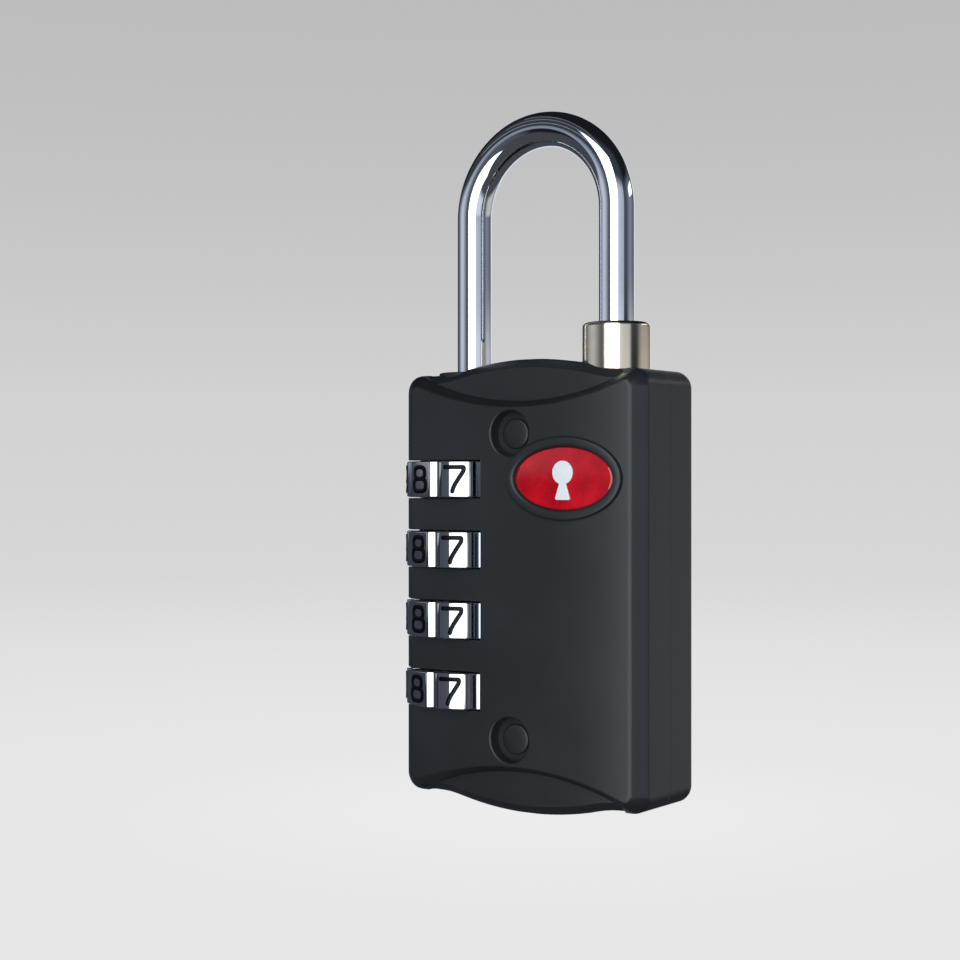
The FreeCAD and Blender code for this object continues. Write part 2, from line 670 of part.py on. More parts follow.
def shackle_spring():
    """Compression spring under the long leg, which lifts the shackle."""
    body = new_body("shackle_spring", "Sizes.dial_axis_x", "0", SPRING_FLOOR_Z)
    half_wire = "Sizes.spring_wire / 2"
    start = f"({half_wire} + Sizes.seat_gap)"
    wire = new_sketch(body, "XZ_Plane")
    circle(wire, half_wire, "Sizes.spring_radius", start)
    coil = body.newObject("PartDesign::AdditiveHelix", "shackle_spring_coil")
    coil.Profile = wire
    coil.ReferenceAxis = (wire, ["V_Axis"])
    coil.Mode = "height-turns-angle"
    coil.setExpression("Height", f"Sizes.spring_room - 2 * {start}")
    coil.setExpression("Turns", "Sizes.spring_turns")
    coil.Reversed = False
    doc.recompute()
    return body


# ---------------------------------------------------------------- dials

def dial_ring(place_number, z):
    """A number ring: ten flat facets with a grip groove between them, splined inside."""
    turned = f"Sizes.dial_rest_{place_number}"
    body = new_body(f"dial_ring_{place_number}", "Sizes.dial_axis_x", "0", z, turned)
    base = "-Sizes.dial_height / 2"
    half = "180 deg / Sizes.facet_count"
    middle = f"(-90 deg + {half})"
    reach = "Sizes.dial_radius"
    root = "(Sizes.dial_radius - Sizes.dial_groove)"
    spread = "Sizes.facet_angle / 2 * 1 deg"
    corners = [(root, f"-{half}"), (reach, f"-{spread}"), (reach, f"+{spread}"), (root, f"+{half}")]
    sector = new_sketch(body, "XY_Plane", ("0", "0", base))
    outline(sector, [("0", "0")] + [
        (f"{radius} * cos({middle} {angle})", f"{radius} * sin({middle} {angle})")
        for radius, angle in corners
    ])
    wedge = extrude("Pad", sector, "Sizes.dial_height")
    ring_pattern(wedge, "Sizes.facet_count")
    bore = new_sketch(body, "XY_Plane")
    circle(bore, HUB_ROOM)
    extrude("Pocket", bore, "2 * Sizes.dial_height", both_ways=True)
    notch = new_sketch(body, "XY_Plane")
    half_width = "(Sizes.spline_width / 2 + Sizes.running_gap)"
    depth = f"({HUB_ROOM} + Sizes.spline_rise)"
    box_outline(notch, "Sizes.hub_radius - Sizes.spline_rise", depth, f"-{half_width}", half_width)
    cut = extrude("Pocket", notch, "2 * Sizes.dial_height", both_ways=True)
    ring_pattern(cut, "Sizes.facet_count")
    return body


def dial_hub(place_number, z):
    """A hub: splined to its ring, with a slotted web that the leg's fin passes at one angle."""
    turned = f"Sizes.dial_rest_{place_number}"
    body = new_body(f"dial_hub_{place_number}", "Sizes.dial_axis_x", "0", z, turned)
    outer = "Sizes.hub_radius"
    waist = f"({outer} - Sizes.hub_groove_depth)"
    groove_top = f"({HUB_HALF} - Sizes.hub_lip)"
    groove_low = f"({groove_top} - Sizes.hub_groove_height)"
    web_top = "(Sizes.web_base + Sizes.web_height)"
    section = new_sketch(body, "XZ_Plane")
    outline(section, [
        (HUB_BORE, f"-{HUB_HALF}"), (outer, f"-{HUB_HALF}"), (outer, groove_low),
        (waist, groove_low), (waist, groove_top), (outer, groove_top), (outer, HUB_HALF),
        (HUB_BORE, HUB_HALF), (HUB_BORE, web_top), (LEG_BORE, web_top),
        (LEG_BORE, "Sizes.web_base"), (HUB_BORE, "Sizes.web_base"),
    ])
    turn("Revolution", section)
    spline = new_sketch(body, "XY_Plane", ("0", "0", "-Sizes.dial_height / 2"))
    half_spline = "Sizes.spline_width / 2"
    box_outline(spline, f"{outer} - Sizes.spline_rise", f"{outer} + Sizes.spline_rise",
                f"-{half_spline}", half_spline)
    tooth = extrude("Pad", spline, "Sizes.dial_height")
    ring_pattern(tooth, "Sizes.facet_count")
    gate = new_sketch(body, "XY_Plane")
    half_gate = "(Sizes.fin_width / 2 + Sizes.fin_gap)"
    box_outline(gate, "0", "Sizes.fin_reach + Sizes.running_gap", f"-{half_gate}", half_gate)
    extrude("Pocket", gate, "2 * Sizes.dial_pitch", both_ways=True)
    return body


def detent_spring():
    """Leaf spring behind the dials, with one bump for each."""
    body = new_body("dial_detent_spring")
    strip = new_sketch(body, "XZ_Plane", ("0", "0", "-Sizes.detent_offset"))
    right = f"{DETENT_X} + Sizes.detent_thickness"
    box_outline(strip, DETENT_X, right, f"-{DETENT_END_Z}", DETENT_END_Z)
    extrude("Pad", strip, "Sizes.detent_width", reverse=True)
    bump = new_sketch(body, "XY_Plane", ("0", "0", f"{TOP_DIAL_Z} - Sizes.detent_bump_height / 2"))
    circle(bump, "Sizes.detent_bump", DETENT_X, "Sizes.detent_offset + Sizes.detent_width / 2")
    pad = extrude("Pad", bump, "Sizes.detent_bump_height")
    column_pattern(pad, STACK, "Sizes.dial_count")
    return body


# ---------------------------------------------------------------- key lock

def key_shell():
    """Fixed barrel of the key lock, with side channels for the wafers."""
    bore = "(Sizes.plug_radius + Sizes.running_gap)"
    outer = "Sizes.shell_radius"
    flange = "(Sizes.shell_radius + Sizes.shell_flange)"
    step = f"({SHELL_TOP_Z} - Sizes.shell_flange_height)"
    body = spun("key_cylinder_shell", [
        (bore, KEY_FACE_Z), (outer, KEY_FACE_Z), (outer, step), (flange, step),
        (flange, SHELL_TOP_Z), (bore, SHELL_TOP_Z),
    ], TOE_X)
    channel = new_sketch(body, "XY_Plane", ("0", "0", f"{KEY_FACE_Z} + Sizes.wafer_first / 2"))
    half_x = "(Sizes.wafer_width / 2 + Sizes.running_gap)"
    half_y = "(Sizes.shell_radius - Sizes.shell_flange)"
    box_outline(channel, f"-{half_x}", half_x, f"-{half_y}", half_y)
    extrude("Pocket", channel, "Sizes.wafer_pitch * Sizes.wafer_count", reverse=True)
    return body


def key_plug():
    """Turning plug of the key lock: keyway, wafer slots, clip neck and a square tail."""
    outer = "Sizes.plug_radius"
    neck = "Sizes.clip_neck_radius"
    body = spun("key_plug", [
        ("0", KEY_FACE_Z), (outer, KEY_FACE_Z), (outer, SHELL_TOP_Z), (neck, SHELL_TOP_Z),
        (neck, CAM_Z), ("0", CAM_Z),
    ], TOE_X)
    keyway = new_sketch(body, "XY_Plane", ("0", "0", KEY_FACE_Z))
    half_x = "Sizes.keyway_width / 2"
    half_y = "Sizes.keyway_length / 2"
    box_outline(keyway, f"-{half_x}", half_x, f"-{half_y}", half_y)
    extrude("Pocket", keyway, "Sizes.keyway_depth", reverse=True)
    gap = "Sizes.seat_gap"
    low = f"({KEY_FACE_Z} + Sizes.wafer_first - {gap})"
    slot = new_sketch(body, "XY_Plane", ("0", "0", low))
    wide = f"(Sizes.wafer_width / 2 + {gap})"
    long = f"({outer} + Sizes.cut_margin)"
    box_outline(slot, f"-{wide}", wide, f"-{long}", long)
    cut = extrude("Pocket", slot, f"Sizes.wafer_thickness + 2 * {gap}", reverse=True)
    column_pattern(cut, WAFER_STACK, "Sizes.wafer_count", downward=False)
    tail = new_sketch(body, "XY_Plane", ("0", "0", CAM_Z))
    half = "Sizes.cam_square / 2"
    box_outline(tail, f"-{half}", half, f"-{half}", half)
    extrude("Pad", tail, "Sizes.tail_height")
    return body


def key_wafers():
    """Flat wafers in the plug's slots, each with a window for the key."""
    body = new_body("key_wafers", TOE_X, "0", f"{KEY_FACE_Z} + Sizes.wafer_first")
    plate = new_sketch(body, "XY_Plane")
    wide = "Sizes.wafer_width / 2"
    long = "Sizes.wafer_length / 2"
    box_outline(plate, f"-{wide}", wide, f"-{long}", long)
    half_x = "(Sizes.keyway_width / 2 + Sizes.seat_gap)"
    half_y = "(Sizes.keyway_length / 2 + Sizes.seat_gap)"
    box_outline(plate, f"-{half_x}", half_x, f"-{half_y}", half_y)
    pad = extrude("Pad", plate, "Sizes.wafer_thickness")
    column_pattern(pad, WAFER_STACK, "Sizes.wafer_count", downward=False)
    return body


def plug_clip():
    """Open ring that keeps the plug in its barrel."""
    top = f"({CLIP_Z} + Sizes.clip_thickness)"
    inner = "(Sizes.clip_neck_radius + Sizes.seat_gap)"
    outer = "Sizes.clip_radius"
    section = [(inner, CLIP_Z), (outer, CLIP_Z), (outer, top), (inner, top)]
    body = spun("plug_retainer_clip", section, TOE_X)
    mouth = new_sketch(body, "XY_Plane", ("0", "0", CLIP_Z))
    half = "Sizes.clip_opening / 2"
    box_outline(mouth, "0", f"{outer} + Sizes.cut_margin", f"-{half}", half)
    extrude("Pocket", mouth, "4 * Sizes.clip_thickness", both_ways=True)
    return body


def release_cam():
    """Cam on the plug's tail, whose pin drives the hub retainer."""
    body = new_body("release_cam", TOE_X, "0", CAM_Z)
    disc = new_sketch(body, "XY_Plane")
    circle(disc, "Sizes.cam_radius")
    extrude("Pad", disc, "Sizes.cam_height")
    socket = new_sketch(body, "XY_Plane")
    half = "(Sizes.cam_square / 2 + Sizes.seat_gap)"
    box_outline(socket, f"-{half}", half, f"-{half}", half)
    extrude("Pocket", socket, "Sizes.cam_socket_depth", reverse=True)
    pin = new_sketch(body, "XY_Plane", ("0", "0", "Sizes.cam_height"))
    circle(pin, "Sizes.cam_pin_radius", f"-{CAM_HALF_STROKE}", f"-{CAM_HALF_STROKE}")
    extrude("Pad", pin, "Sizes.cam_pin_height")
    return body


def hub_retainer():
    """Slide that holds the hubs down by their grooves until the cam draws it back."""
    body = new_body("hub_retainer_slide")
    tab_top = f"({TOP_DIAL_Z} + {TAB_Z} + Sizes.tab_thickness / 2)"
    tab_low = f"({tab_top} - Sizes.tab_thickness)"
    stem_low = f"({tab_low} - {STACK})"
    left = "Sizes.retainer_x"
    stem = new_sketch(body, "XZ_Plane")
    box_outline(stem, left, f"{left} + Sizes.retainer_width", stem_low, tab_top)
    extrude("Pad", stem, "Sizes.retainer_thickness", both_ways=True)
    tab = new_sketch(body, "XZ_Plane")
    tip = "(Sizes.dial_axis_x + Sizes.hub_radius - Sizes.tab_bite)"
    box_outline(tab, tip, f"{left} + Sizes.retainer_width / 2", tab_low, tab_top)
    pad = extrude("Pad", tab, "Sizes.retainer_thickness", both_ways=True)
    column_pattern(pad, STACK, "Sizes.dial_count")
    foot = new_sketch(body, "XY_Plane", ("0", "0", FOOT_Z))
    pin_x = f"({TOE_X} - {CAM_HALF_STROKE})"
    half_y = "Sizes.foot_width / 2"
    foot_right = f"{pin_x} + Sizes.cam_pin_radius + Sizes.foot_margin"
    box_outline(foot, f"{left} + Sizes.retainer_width / 2", foot_right, f"-{half_y}", half_y)
    extrude("Pad", foot, "Sizes.foot_height")
    slot = new_sketch(body, "XY_Plane", ("0", "0", FOOT_Z))
    half_x = "(Sizes.cam_pin_radius + Sizes.running_gap)"
    far = f"-(Sizes.cam_throw + {half_x})"
    near = f"-({CAM_HALF_STROKE} - {half_x})"
    box_outline(slot, f"{pin_x} - {half_x}", f"{pin_x} + {half_x}", far, near)
    extrude("Pocket", slot, "3 * Sizes.foot_height", both_ways=True)
    return body


# ---------------------------------------------------------------- fasteners and badge

def casing_rivets():
    """Two rivets through the whole casing, headed in the cover recesses."""
    body = new_body("casing_rivets", "Sizes.rivet_x", "0", RIVET_Z)
    floor = f"({HALF_DEPTH} - Sizes.rivet_recess_depth)"
    face = f"({floor} + Sizes.rivet_head_height)"
    head = "Sizes.rivet_head_radius"
    shank = "Sizes.rivet_shank_radius"
    section = new_sketch(body, "XY_Plane")
    outline(section, [
        ("0", f"-{face}"), (head, f"-{face}"), (head, f"-{floor}"), (shank, f"-{floor}"),
        (shank, floor), (head, floor), (head, face), ("0", face),
    ])
    rivet = turn("Revolution", section)
    column_pattern(rivet, f"2 * {RIVET_Z}", "2")
    return body


def badge_bezel():
    """Raised oval frame round the badge."""
    body = new_body("emblem_bezel", "Sizes.badge_x", "0", "Sizes.badge_z")
    ring = new_sketch(body, "XZ_Plane", ("0", "0", HALF_DEPTH))
    oval(ring, "Sizes.badge_width", "Sizes.badge_height")
    oval(ring, BADGE_INNER_WIDTH, BADGE_INNER_HEIGHT)
    extrude("Pad", ring, "Sizes.badge_rise")
    return body


def badge_insert():
    """Enamelled plate inside the bezel, let into the cover."""
    body = new_body("emblem_insert", "Sizes.badge_x", "0", "Sizes.badge_z")
    plate = new_sketch(body, "XZ_Plane", ("0", "0", f"{HALF_DEPTH} - Sizes.badge_seat"))
    gap = "2 * Sizes.seat_gap"
    oval(plate, f"{BADGE_INNER_WIDTH} - {gap}", f"{BADGE_INNER_HEIGHT} - {gap}")
    extrude("Pad", plate, "Sizes.badge_seat + Sizes.insert_rise")
    return body


def badge_mark():
    """Keyhole sign on the badge."""
    body = new_body("emblem_keyhole_mark", "Sizes.badge_x", "0", "Sizes.badge_z")
    face = f"{HALF_DEPTH} + Sizes.insert_rise"
    eye_z = "Sizes.mark_eye_height"
    eye = new_sketch(body, "XZ_Plane", ("0", "0", face))
    circle(eye, "Sizes.mark_radius", "0", eye_z)
    extrude("Pad", eye, "Sizes.mark_rise")
    stem = new_sketch(body, "XZ_Plane", ("0", "0", face))
    neck = "Sizes.mark_neck_width / 2"
    foot = "Sizes.mark_foot_width / 2"
    low = "-Sizes.mark_stem"
    outline(stem, [(f"-{foot}", low), (foot, low), (neck, eye_z), (f"-{neck}", eye_z)])
    extrude("Pad", stem, "Sizes.mark_rise")
    return body


def cut_badge_seat(body):
    """Shallow oval seat for the badge in the front cover."""
    seat = new_sketch(body, "XZ_Plane", ("Sizes.badge_x", "Sizes.badge_z", HALF_DEPTH))
    oval(seat, BADGE_INNER_WIDTH, BADGE_INNER_HEIGHT)
    extrude("Pocket", seat, "Sizes.badge_seat")


front_cover = cover("front_cover", -1)
cut_badge_seat(front_cover)
back_cover = cover("back_cover", 1)
front_frame = frame_half("front_frame", -1)
back_frame = frame_half("back_frame", 1)
cut_detent_room(back_frame)
pieces = [front_cover, back_cover, front_frame, back_frame]
pieces += [shackle(), guide_bush(), toe_collar(), shackle_spring(), detent_spring()]
for count in range(int(SIZES["dial_count"])):
    height = f"({TOP_DIAL_Z} - {count} * Sizes.dial_pitch)"
    pieces += [dial_ring(count + 1, height), dial_hub(count + 1, height)]
pieces += [key_shell(), key_plug(), key_wafers(), plug_clip(), release_cam(), hub_retainer()]
pieces += [casing_rivets(), badge_bezel(), badge_insert(), badge_mark()]
doc.recompute()

for item in doc.Objects:
    if any(word in item.State for word in ("Invalid", "Error")):
        raise RuntimeError(f"{item.Label} failed: {item.State}")
for piece in pieces:
    if piece.Shape.isNull() or not piece.Shape.isValid():
        raise RuntimeError(f"{piece.Label} has no valid shape")

os.makedirs("parts", exist_ok=True)
for piece in pieces:
    piece.Shape.exportStep(f"parts/{piece.Label}.step")
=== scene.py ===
"""Luggage combination padlock: its visible pieces and finishes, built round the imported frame."""
import json
import logging
import math
from abc import ABC, abstractmethod
from dataclasses import dataclass
from enum import Enum
from typing import Callable, Iterable, Sequence

import bmesh
import bpy
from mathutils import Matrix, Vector


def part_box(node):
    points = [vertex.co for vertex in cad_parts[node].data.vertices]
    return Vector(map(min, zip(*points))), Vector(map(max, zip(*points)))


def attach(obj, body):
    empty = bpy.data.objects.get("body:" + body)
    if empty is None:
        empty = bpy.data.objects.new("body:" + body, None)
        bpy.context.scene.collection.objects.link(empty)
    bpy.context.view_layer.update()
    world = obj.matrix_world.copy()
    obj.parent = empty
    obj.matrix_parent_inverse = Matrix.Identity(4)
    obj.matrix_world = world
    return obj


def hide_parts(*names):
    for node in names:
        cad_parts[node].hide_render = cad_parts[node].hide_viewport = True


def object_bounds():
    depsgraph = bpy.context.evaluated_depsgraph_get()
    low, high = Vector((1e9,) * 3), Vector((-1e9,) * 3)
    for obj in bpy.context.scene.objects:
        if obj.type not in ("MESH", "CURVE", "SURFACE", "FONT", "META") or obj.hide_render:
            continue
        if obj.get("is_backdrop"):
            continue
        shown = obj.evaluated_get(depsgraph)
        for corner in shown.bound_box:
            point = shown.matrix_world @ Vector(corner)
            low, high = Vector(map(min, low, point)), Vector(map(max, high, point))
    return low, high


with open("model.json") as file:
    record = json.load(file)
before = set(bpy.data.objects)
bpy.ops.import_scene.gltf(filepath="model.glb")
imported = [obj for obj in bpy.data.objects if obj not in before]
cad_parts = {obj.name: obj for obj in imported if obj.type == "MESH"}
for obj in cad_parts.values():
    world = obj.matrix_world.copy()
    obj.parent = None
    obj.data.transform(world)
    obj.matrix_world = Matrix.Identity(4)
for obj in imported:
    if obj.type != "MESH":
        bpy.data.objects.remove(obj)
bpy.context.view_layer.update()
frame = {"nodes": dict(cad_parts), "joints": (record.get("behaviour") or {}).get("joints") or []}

MM = 0.001
CREASE = 38.0
LOG = logging.getLogger("padlock")

Point = tuple[float, float]
Triple = tuple[float, float, float]
Colour = Triple
Stops = Sequence[tuple[float, Colour]]


class Axis(Enum):
    """The axis that a turned piece spins about."""

    UP = "z"
    DEPTH = "y"


class Side(Enum):
    """The two faces of the lock, by the sign of Y."""

    FRONT = -1
    BACK = 1


# ---------------------------------------------------------------- outlines

def arc(centre: Point, radius: float, start: float, stop: float, steps: int) -> list[Point]:
    """Points along an arc.

    Args:
        centre: The arc's centre.
        radius: Its radius in metres.
        start: First angle in degrees, anticlockwise from the first coordinate's axis.
        stop: Last angle in degrees.
        steps: How many spans the arc is divided into.

    Returns:
        steps + 1 points, both ends included.
    """
    angles = (math.radians(start + (stop - start) * n / steps) for n in range(steps + 1))
    return [(centre[0] + radius * math.cos(a), centre[1] + radius * math.sin(a)) for a in angles]


def bend(start: Point, corner: Point, stop: Point, steps: int) -> list[Point]:
    """A smooth bend between two points.

    Args:
        start: Where the bend begins.
        corner: The point that it rounds off.
        stop: Where it ends.
        steps: How many spans it is divided into.

    Returns:
        The points strictly between start and stop.
    """
    points = []
    for n in range(1, steps):
        t = n / steps
        a, b, c = (1 - t) ** 2, 2 * t * (1 - t), t * t
        points.append((a * start[0] + b * corner[0] + c * stop[0],
                       a * start[1] + b * corner[1] + c * stop[1]))
    return points


def rounded(points: Sequence[Point], reach: float, closed: bool, steps: int = 6) -> list[Point]:
    """A line through points, with every corner bent.

    Args:
        points: The corners of the line.
        reach: How far from a corner its bend begins, at most 0.45 of the span.
        closed: Whether the line runs back to its first point.
        steps: How many spans each bend is divided into.

    Returns:
        The bent line's points.
    """
    line: list[Point] = []
    count = len(points)
    for n, corner in enumerate(points):
        if not closed and n in (0, count - 1):
            line.append(corner)
            continue
        sides = []
        for other in (points[n - 1], points[(n + 1) % count]):
            length = math.dist(corner, other)
            share = min(reach / length, 0.45)
            sides.append((corner[0] + (other[0] - corner[0]) * share,
                          corner[1] + (other[1] - corner[1]) * share))
        line += [sides[0], *bend(sides[0], corner, sides[1], steps), sides[1]]
    return line


def inset(points: Sequence[Point], distance: float) -> list[Point]:
    """Move a closed anticlockwise outline inwards.

    Args:
        points: The outline.
        distance: How far each side moves; a negative distance moves it outwards.

    Returns:
        As many points, each moved along the bisector of its two sides.
    """
    moved = []
    count = len(points)
    for n, (x, y) in enumerate(points):
        before, after = points[n - 1], points[(n + 1) % count]
        first = Vector((x - before[0], y - before[1])).normalized()
        second = Vector((after[0] - x, after[1] - y)).normalized()
        normal = Vector((-first.y - second.y, first.x + second.x))
        normal.normalize()
        spread = max(normal.dot(Vector((-first.y, first.x))), 0.5)
        moved.append((x + normal.x * distance / spread, y + normal.y * distance / spread))
    return moved


def face_ring(points: Iterable[Point], depth: float) -> list[Vector]:
    """Stand an outline of X and Z points up at a depth along Y."""
    return [Vector((x, depth, z)) for x, z in points]


def flat_ring(points: Iterable[Point], height: float) -> list[Vector]:
    """Lay an outline of X and Y points down at a height along Z."""
    return [Vector((x, y, height)) for x, y in points]


def edge_steps(radius: float, steps: int = 3) -> list[Point]:
    """How far in and how far along each ring of a rounded edge lies, from its wall to its end."""
    angles = [math.radians(90 * n / steps) for n in range(steps + 1)]
    return [(radius * (1 - math.cos(a)), radius * (1 - math.sin(a))) for a in angles]


# ---------------------------------------------------------------- solids

class Form:
    """A solid under construction, in the frame's axes and in metres."""

    touch: float = 1e-4 * MM
    cut_touch: float = 2e-3 * MM

    def __init__(self) -> None:
        """Start with nothing."""
        self.mesh = bmesh.new()

    @classmethod
    def loft(cls, rings: Sequence[Sequence[Vector]], capped: bool = True) -> "Form":
        """Skin a row of rings.

        Args:
            rings: Closed rings with equally many points each.
            capped: Whether the two ends are closed with a face; otherwise the last ring joins
                the first.

        Returns:
            The closed solid.
        """
        form = cls()
        rows = [[form.mesh.verts.new(point) for point in ring] for ring in rings]
        pairs = list(zip(rows, rows[1:])) + ([] if capped else [(rows[-1], rows[0])])
        for low, high in pairs:
            for n, corner in enumerate(low):
                after = (n + 1) % len(low)
                form.mesh.faces.new((corner, low[after], high[after], high[n]))
        if capped:
            form.mesh.faces.new(list(reversed(rows[0])))
            form.mesh.faces.new(rows[-1])
        form.tidy()
        return form

    @classmethod
    def turned(cls, profile: Sequence[Point], centre: Vector, axis: Axis = Axis.UP,
               steps: int = 96) -> "Form":
        """Spin a closed profile.

        Args:
            profile: Radius and height pairs; points of no radius lie on the axis.
            centre: The point that heights and radii are measured from.
            axis: The axis it spins about.
            steps: How many spans the turn is divided into.

        Returns:
            The turned solid.
        """
        rings = []
        for n in range(steps):
            a = 2 * math.pi * n / steps
            if axis is Axis.UP:
                ring = [centre + Vector((r * math.cos(a), r * math.sin(a), h)) for r, h in profile]
            else:
                ring = [centre + Vector((r * math.cos(a), h, r * math.sin(a))) for r, h in profile]
            rings.append(ring)
        return cls.loft(rings, capped=False)

    @classmethod
    def block(cls, low: Vector, high: Vector, edge: float = 0.0) -> "Form":
        """A box between two corners, with its upright and level edges rounded.

        Args:
            low: Its lowest corner.
            high: Its highest corner.
            edge: The radius of its edges; none at 0.

        Returns:
            The solid.
        """
        corners = [(low.x, low.y), (high.x, low.y), (high.x, high.y), (low.x, high.y)]
        if not edge:
            return cls.loft([flat_ring(corners, low.z), flat_ring(corners, high.z)])
        plan = rounded(corners, edge, closed=True, steps=3)
        steps = edge_steps(edge)
        rings = [flat_ring(inset(plan, cut), low.z + rise) for cut, rise in reversed(steps)]
        rings += [flat_ring(inset(plan, cut), high.z - rise) for cut, rise in steps]
        return cls.loft(rings)

    def tidy(self) -> None:
        """Merge points that coincide and turn all faces outwards."""
        bmesh.ops.remove_doubles(self.mesh, verts=self.mesh.verts, dist=self.touch)
        bmesh.ops.recalc_face_normals(self.mesh, faces=self.mesh.faces)

    def join(self, other: "Form") -> "Form":
        """Take another solid's faces in beside this one's.

        Args:
            other: The solid to take in; it is used up.

        Returns:
            This solid.
        """
        spare = bpy.data.meshes.new("spare")
        other.mesh.to_mesh(spare)
        self.mesh.from_mesh(spare)
        bpy.data.meshes.remove(spare)
        other.mesh.free()
        return self

    def holder(self, name: str) -> bpy.types.Object:
        """Move this solid's mesh into an object of the scene.

        Args:
            name: The object's name.

        Returns:
            The object.
        """
        mesh = bpy.data.meshes.new(name)
        self.mesh.to_mesh(mesh)
        self.mesh.free()
        thing = bpy.data.objects.new(name, mesh)
        bpy.context.scene.collection.objects.link(thing)
        return thing

    def cut(self, *tools: "Form") -> "Form":
        """Take other solids away from this one.

        Args:
            tools: The solids to take away; they are used up.

        Returns:
            This solid, cut.
        """
        blank = self.holder("blank")
        cutters = [tool.holder("cutter") for tool in tools]
        for cutter in cutters:
            step = blank.modifiers.new("cut", "BOOLEAN")
            step.operation = "DIFFERENCE"
            step.solver = "EXACT"
            step.object = cutter
        seen = blank.evaluated_get(bpy.context.evaluated_depsgraph_get())
        self.mesh = bmesh.new()
        self.mesh.from_mesh(seen.to_mesh())
        seen.to_mesh_clear()
        for thing in (blank, *cutters):
            mesh = thing.data
            bpy.data.objects.remove(thing)
            bpy.data.meshes.remove(mesh)
        bmesh.ops.remove_doubles(self.mesh, verts=self.mesh.verts, dist=self.cut_touch)
        bmesh.ops.dissolve_degenerate(self.mesh, edges=self.mesh.edges, dist=self.cut_touch / 2)
        return self

    def soften(self, width: float, chosen: Callable[[bmesh.types.BMEdge], bool],
               segments: int = 2) -> "Form":
        """Round some of the solid's edges.

        Args:
            width: How far the rounding reaches from an edge.
            chosen: Says whether an edge is rounded.
            segments: How many spans the rounding has.

        Returns:
            This solid.
        """
        edges = [e for e in self.mesh.edges if len(e.link_faces) == 2 and chosen(e)]
        bmesh.ops.bevel(self.mesh, geom=edges, offset=width, segments=segments, profile=0.5,
                        affect="EDGES", clamp_overlap=False)
        bmesh.ops.recalc_face_normals(self.mesh, faces=self.mesh.faces)
        return self


def sharp(edge: bmesh.types.BMEdge, degrees: float = 35.0) -> bool:
    """Whether an edge's two faces meet at more than an angle."""
    return len(edge.link_faces) == 2 and edge.calc_face_angle(0.0) > math.radians(degrees)


# ---------------------------------------------------------------- shader graph

class Value:
    """A number socket of a shader, on which arithmetic adds Math nodes."""

    def __init__(self, graph: "Graph", socket: bpy.types.NodeSocket) -> None:
        """Wrap a socket of a graph."""
        self.graph = graph
        self.socket = socket

    def _math(self, operation: str, first: "Value | float", second: "Value | float") -> "Value":
        """Add one Math node and wrap its result."""
        made = self.graph.node("ShaderNodeMath", {"operation": operation}, {0: first, 1: second})
        return Value(self.graph, made.outputs[0])

    def __add__(self, other: "Value | float") -> "Value":
        """self + other"""
        return self._math("ADD", self, other)

    __radd__ = __add__

    def __sub__(self, other: "Value | float") -> "Value":
        """self - other"""
        return self._math("SUBTRACT", self, other)

    def __rsub__(self, other: "Value | float") -> "Value":
        """other - self"""
        return self._math("SUBTRACT", other, self)

    def __mul__(self, other: "Value | float") -> "Value":
        """self * other"""
        return self._math("MULTIPLY", self, other)

    __rmul__ = __mul__

    def __truediv__(self, other: "Value | float") -> "Value":
        """self / other"""
        return self._math("DIVIDE", self, other)

    def __rtruediv__(self, other: "Value | float") -> "Value":
        """other / self"""
        return self._math("DIVIDE", other, self)

    def __pow__(self, other: "Value | float") -> "Value":
        """self ** other"""
        return self._math("POWER", self, other)

    def __rpow__(self, other: "Value | float") -> "Value":
        """other ** self"""
        return self._math("POWER", other, self)

    def __neg__(self) -> "Value":
        """-self"""
        return self._math("MULTIPLY", self, -1.0)

    def __abs__(self) -> "Value":
        """abs(self)"""
        return self._math("ABSOLUTE", self, 0.0)

    def capped(self, most: float) -> "Value":
        """self, but never more than most."""
        return self._math("MINIMUM", self, most)

    def bearing(self, other: "Value") -> "Value":
        """The angle of self over other, as a share of a turn from 0 to 1, with 0.5 ahead."""
        return self._math("ARCTAN2", self, other) / (2 * math.pi) + 0.5

    def between(self, low: float, high: float) -> "Value":
        """A soft step.

        Args:
            low: The value at which the step begins.
            high: The value at which it has reached 1.

        Returns:
            0 below low, 1 above high, and a smooth rise between them.
        """
        made = self.graph.node("ShaderNodeMapRange", {"interpolation_type": "SMOOTHSTEP"},
                               {"Value": self, "From Min": low, "From Max": high})
        return Value(self.graph, made.outputs["Result"])


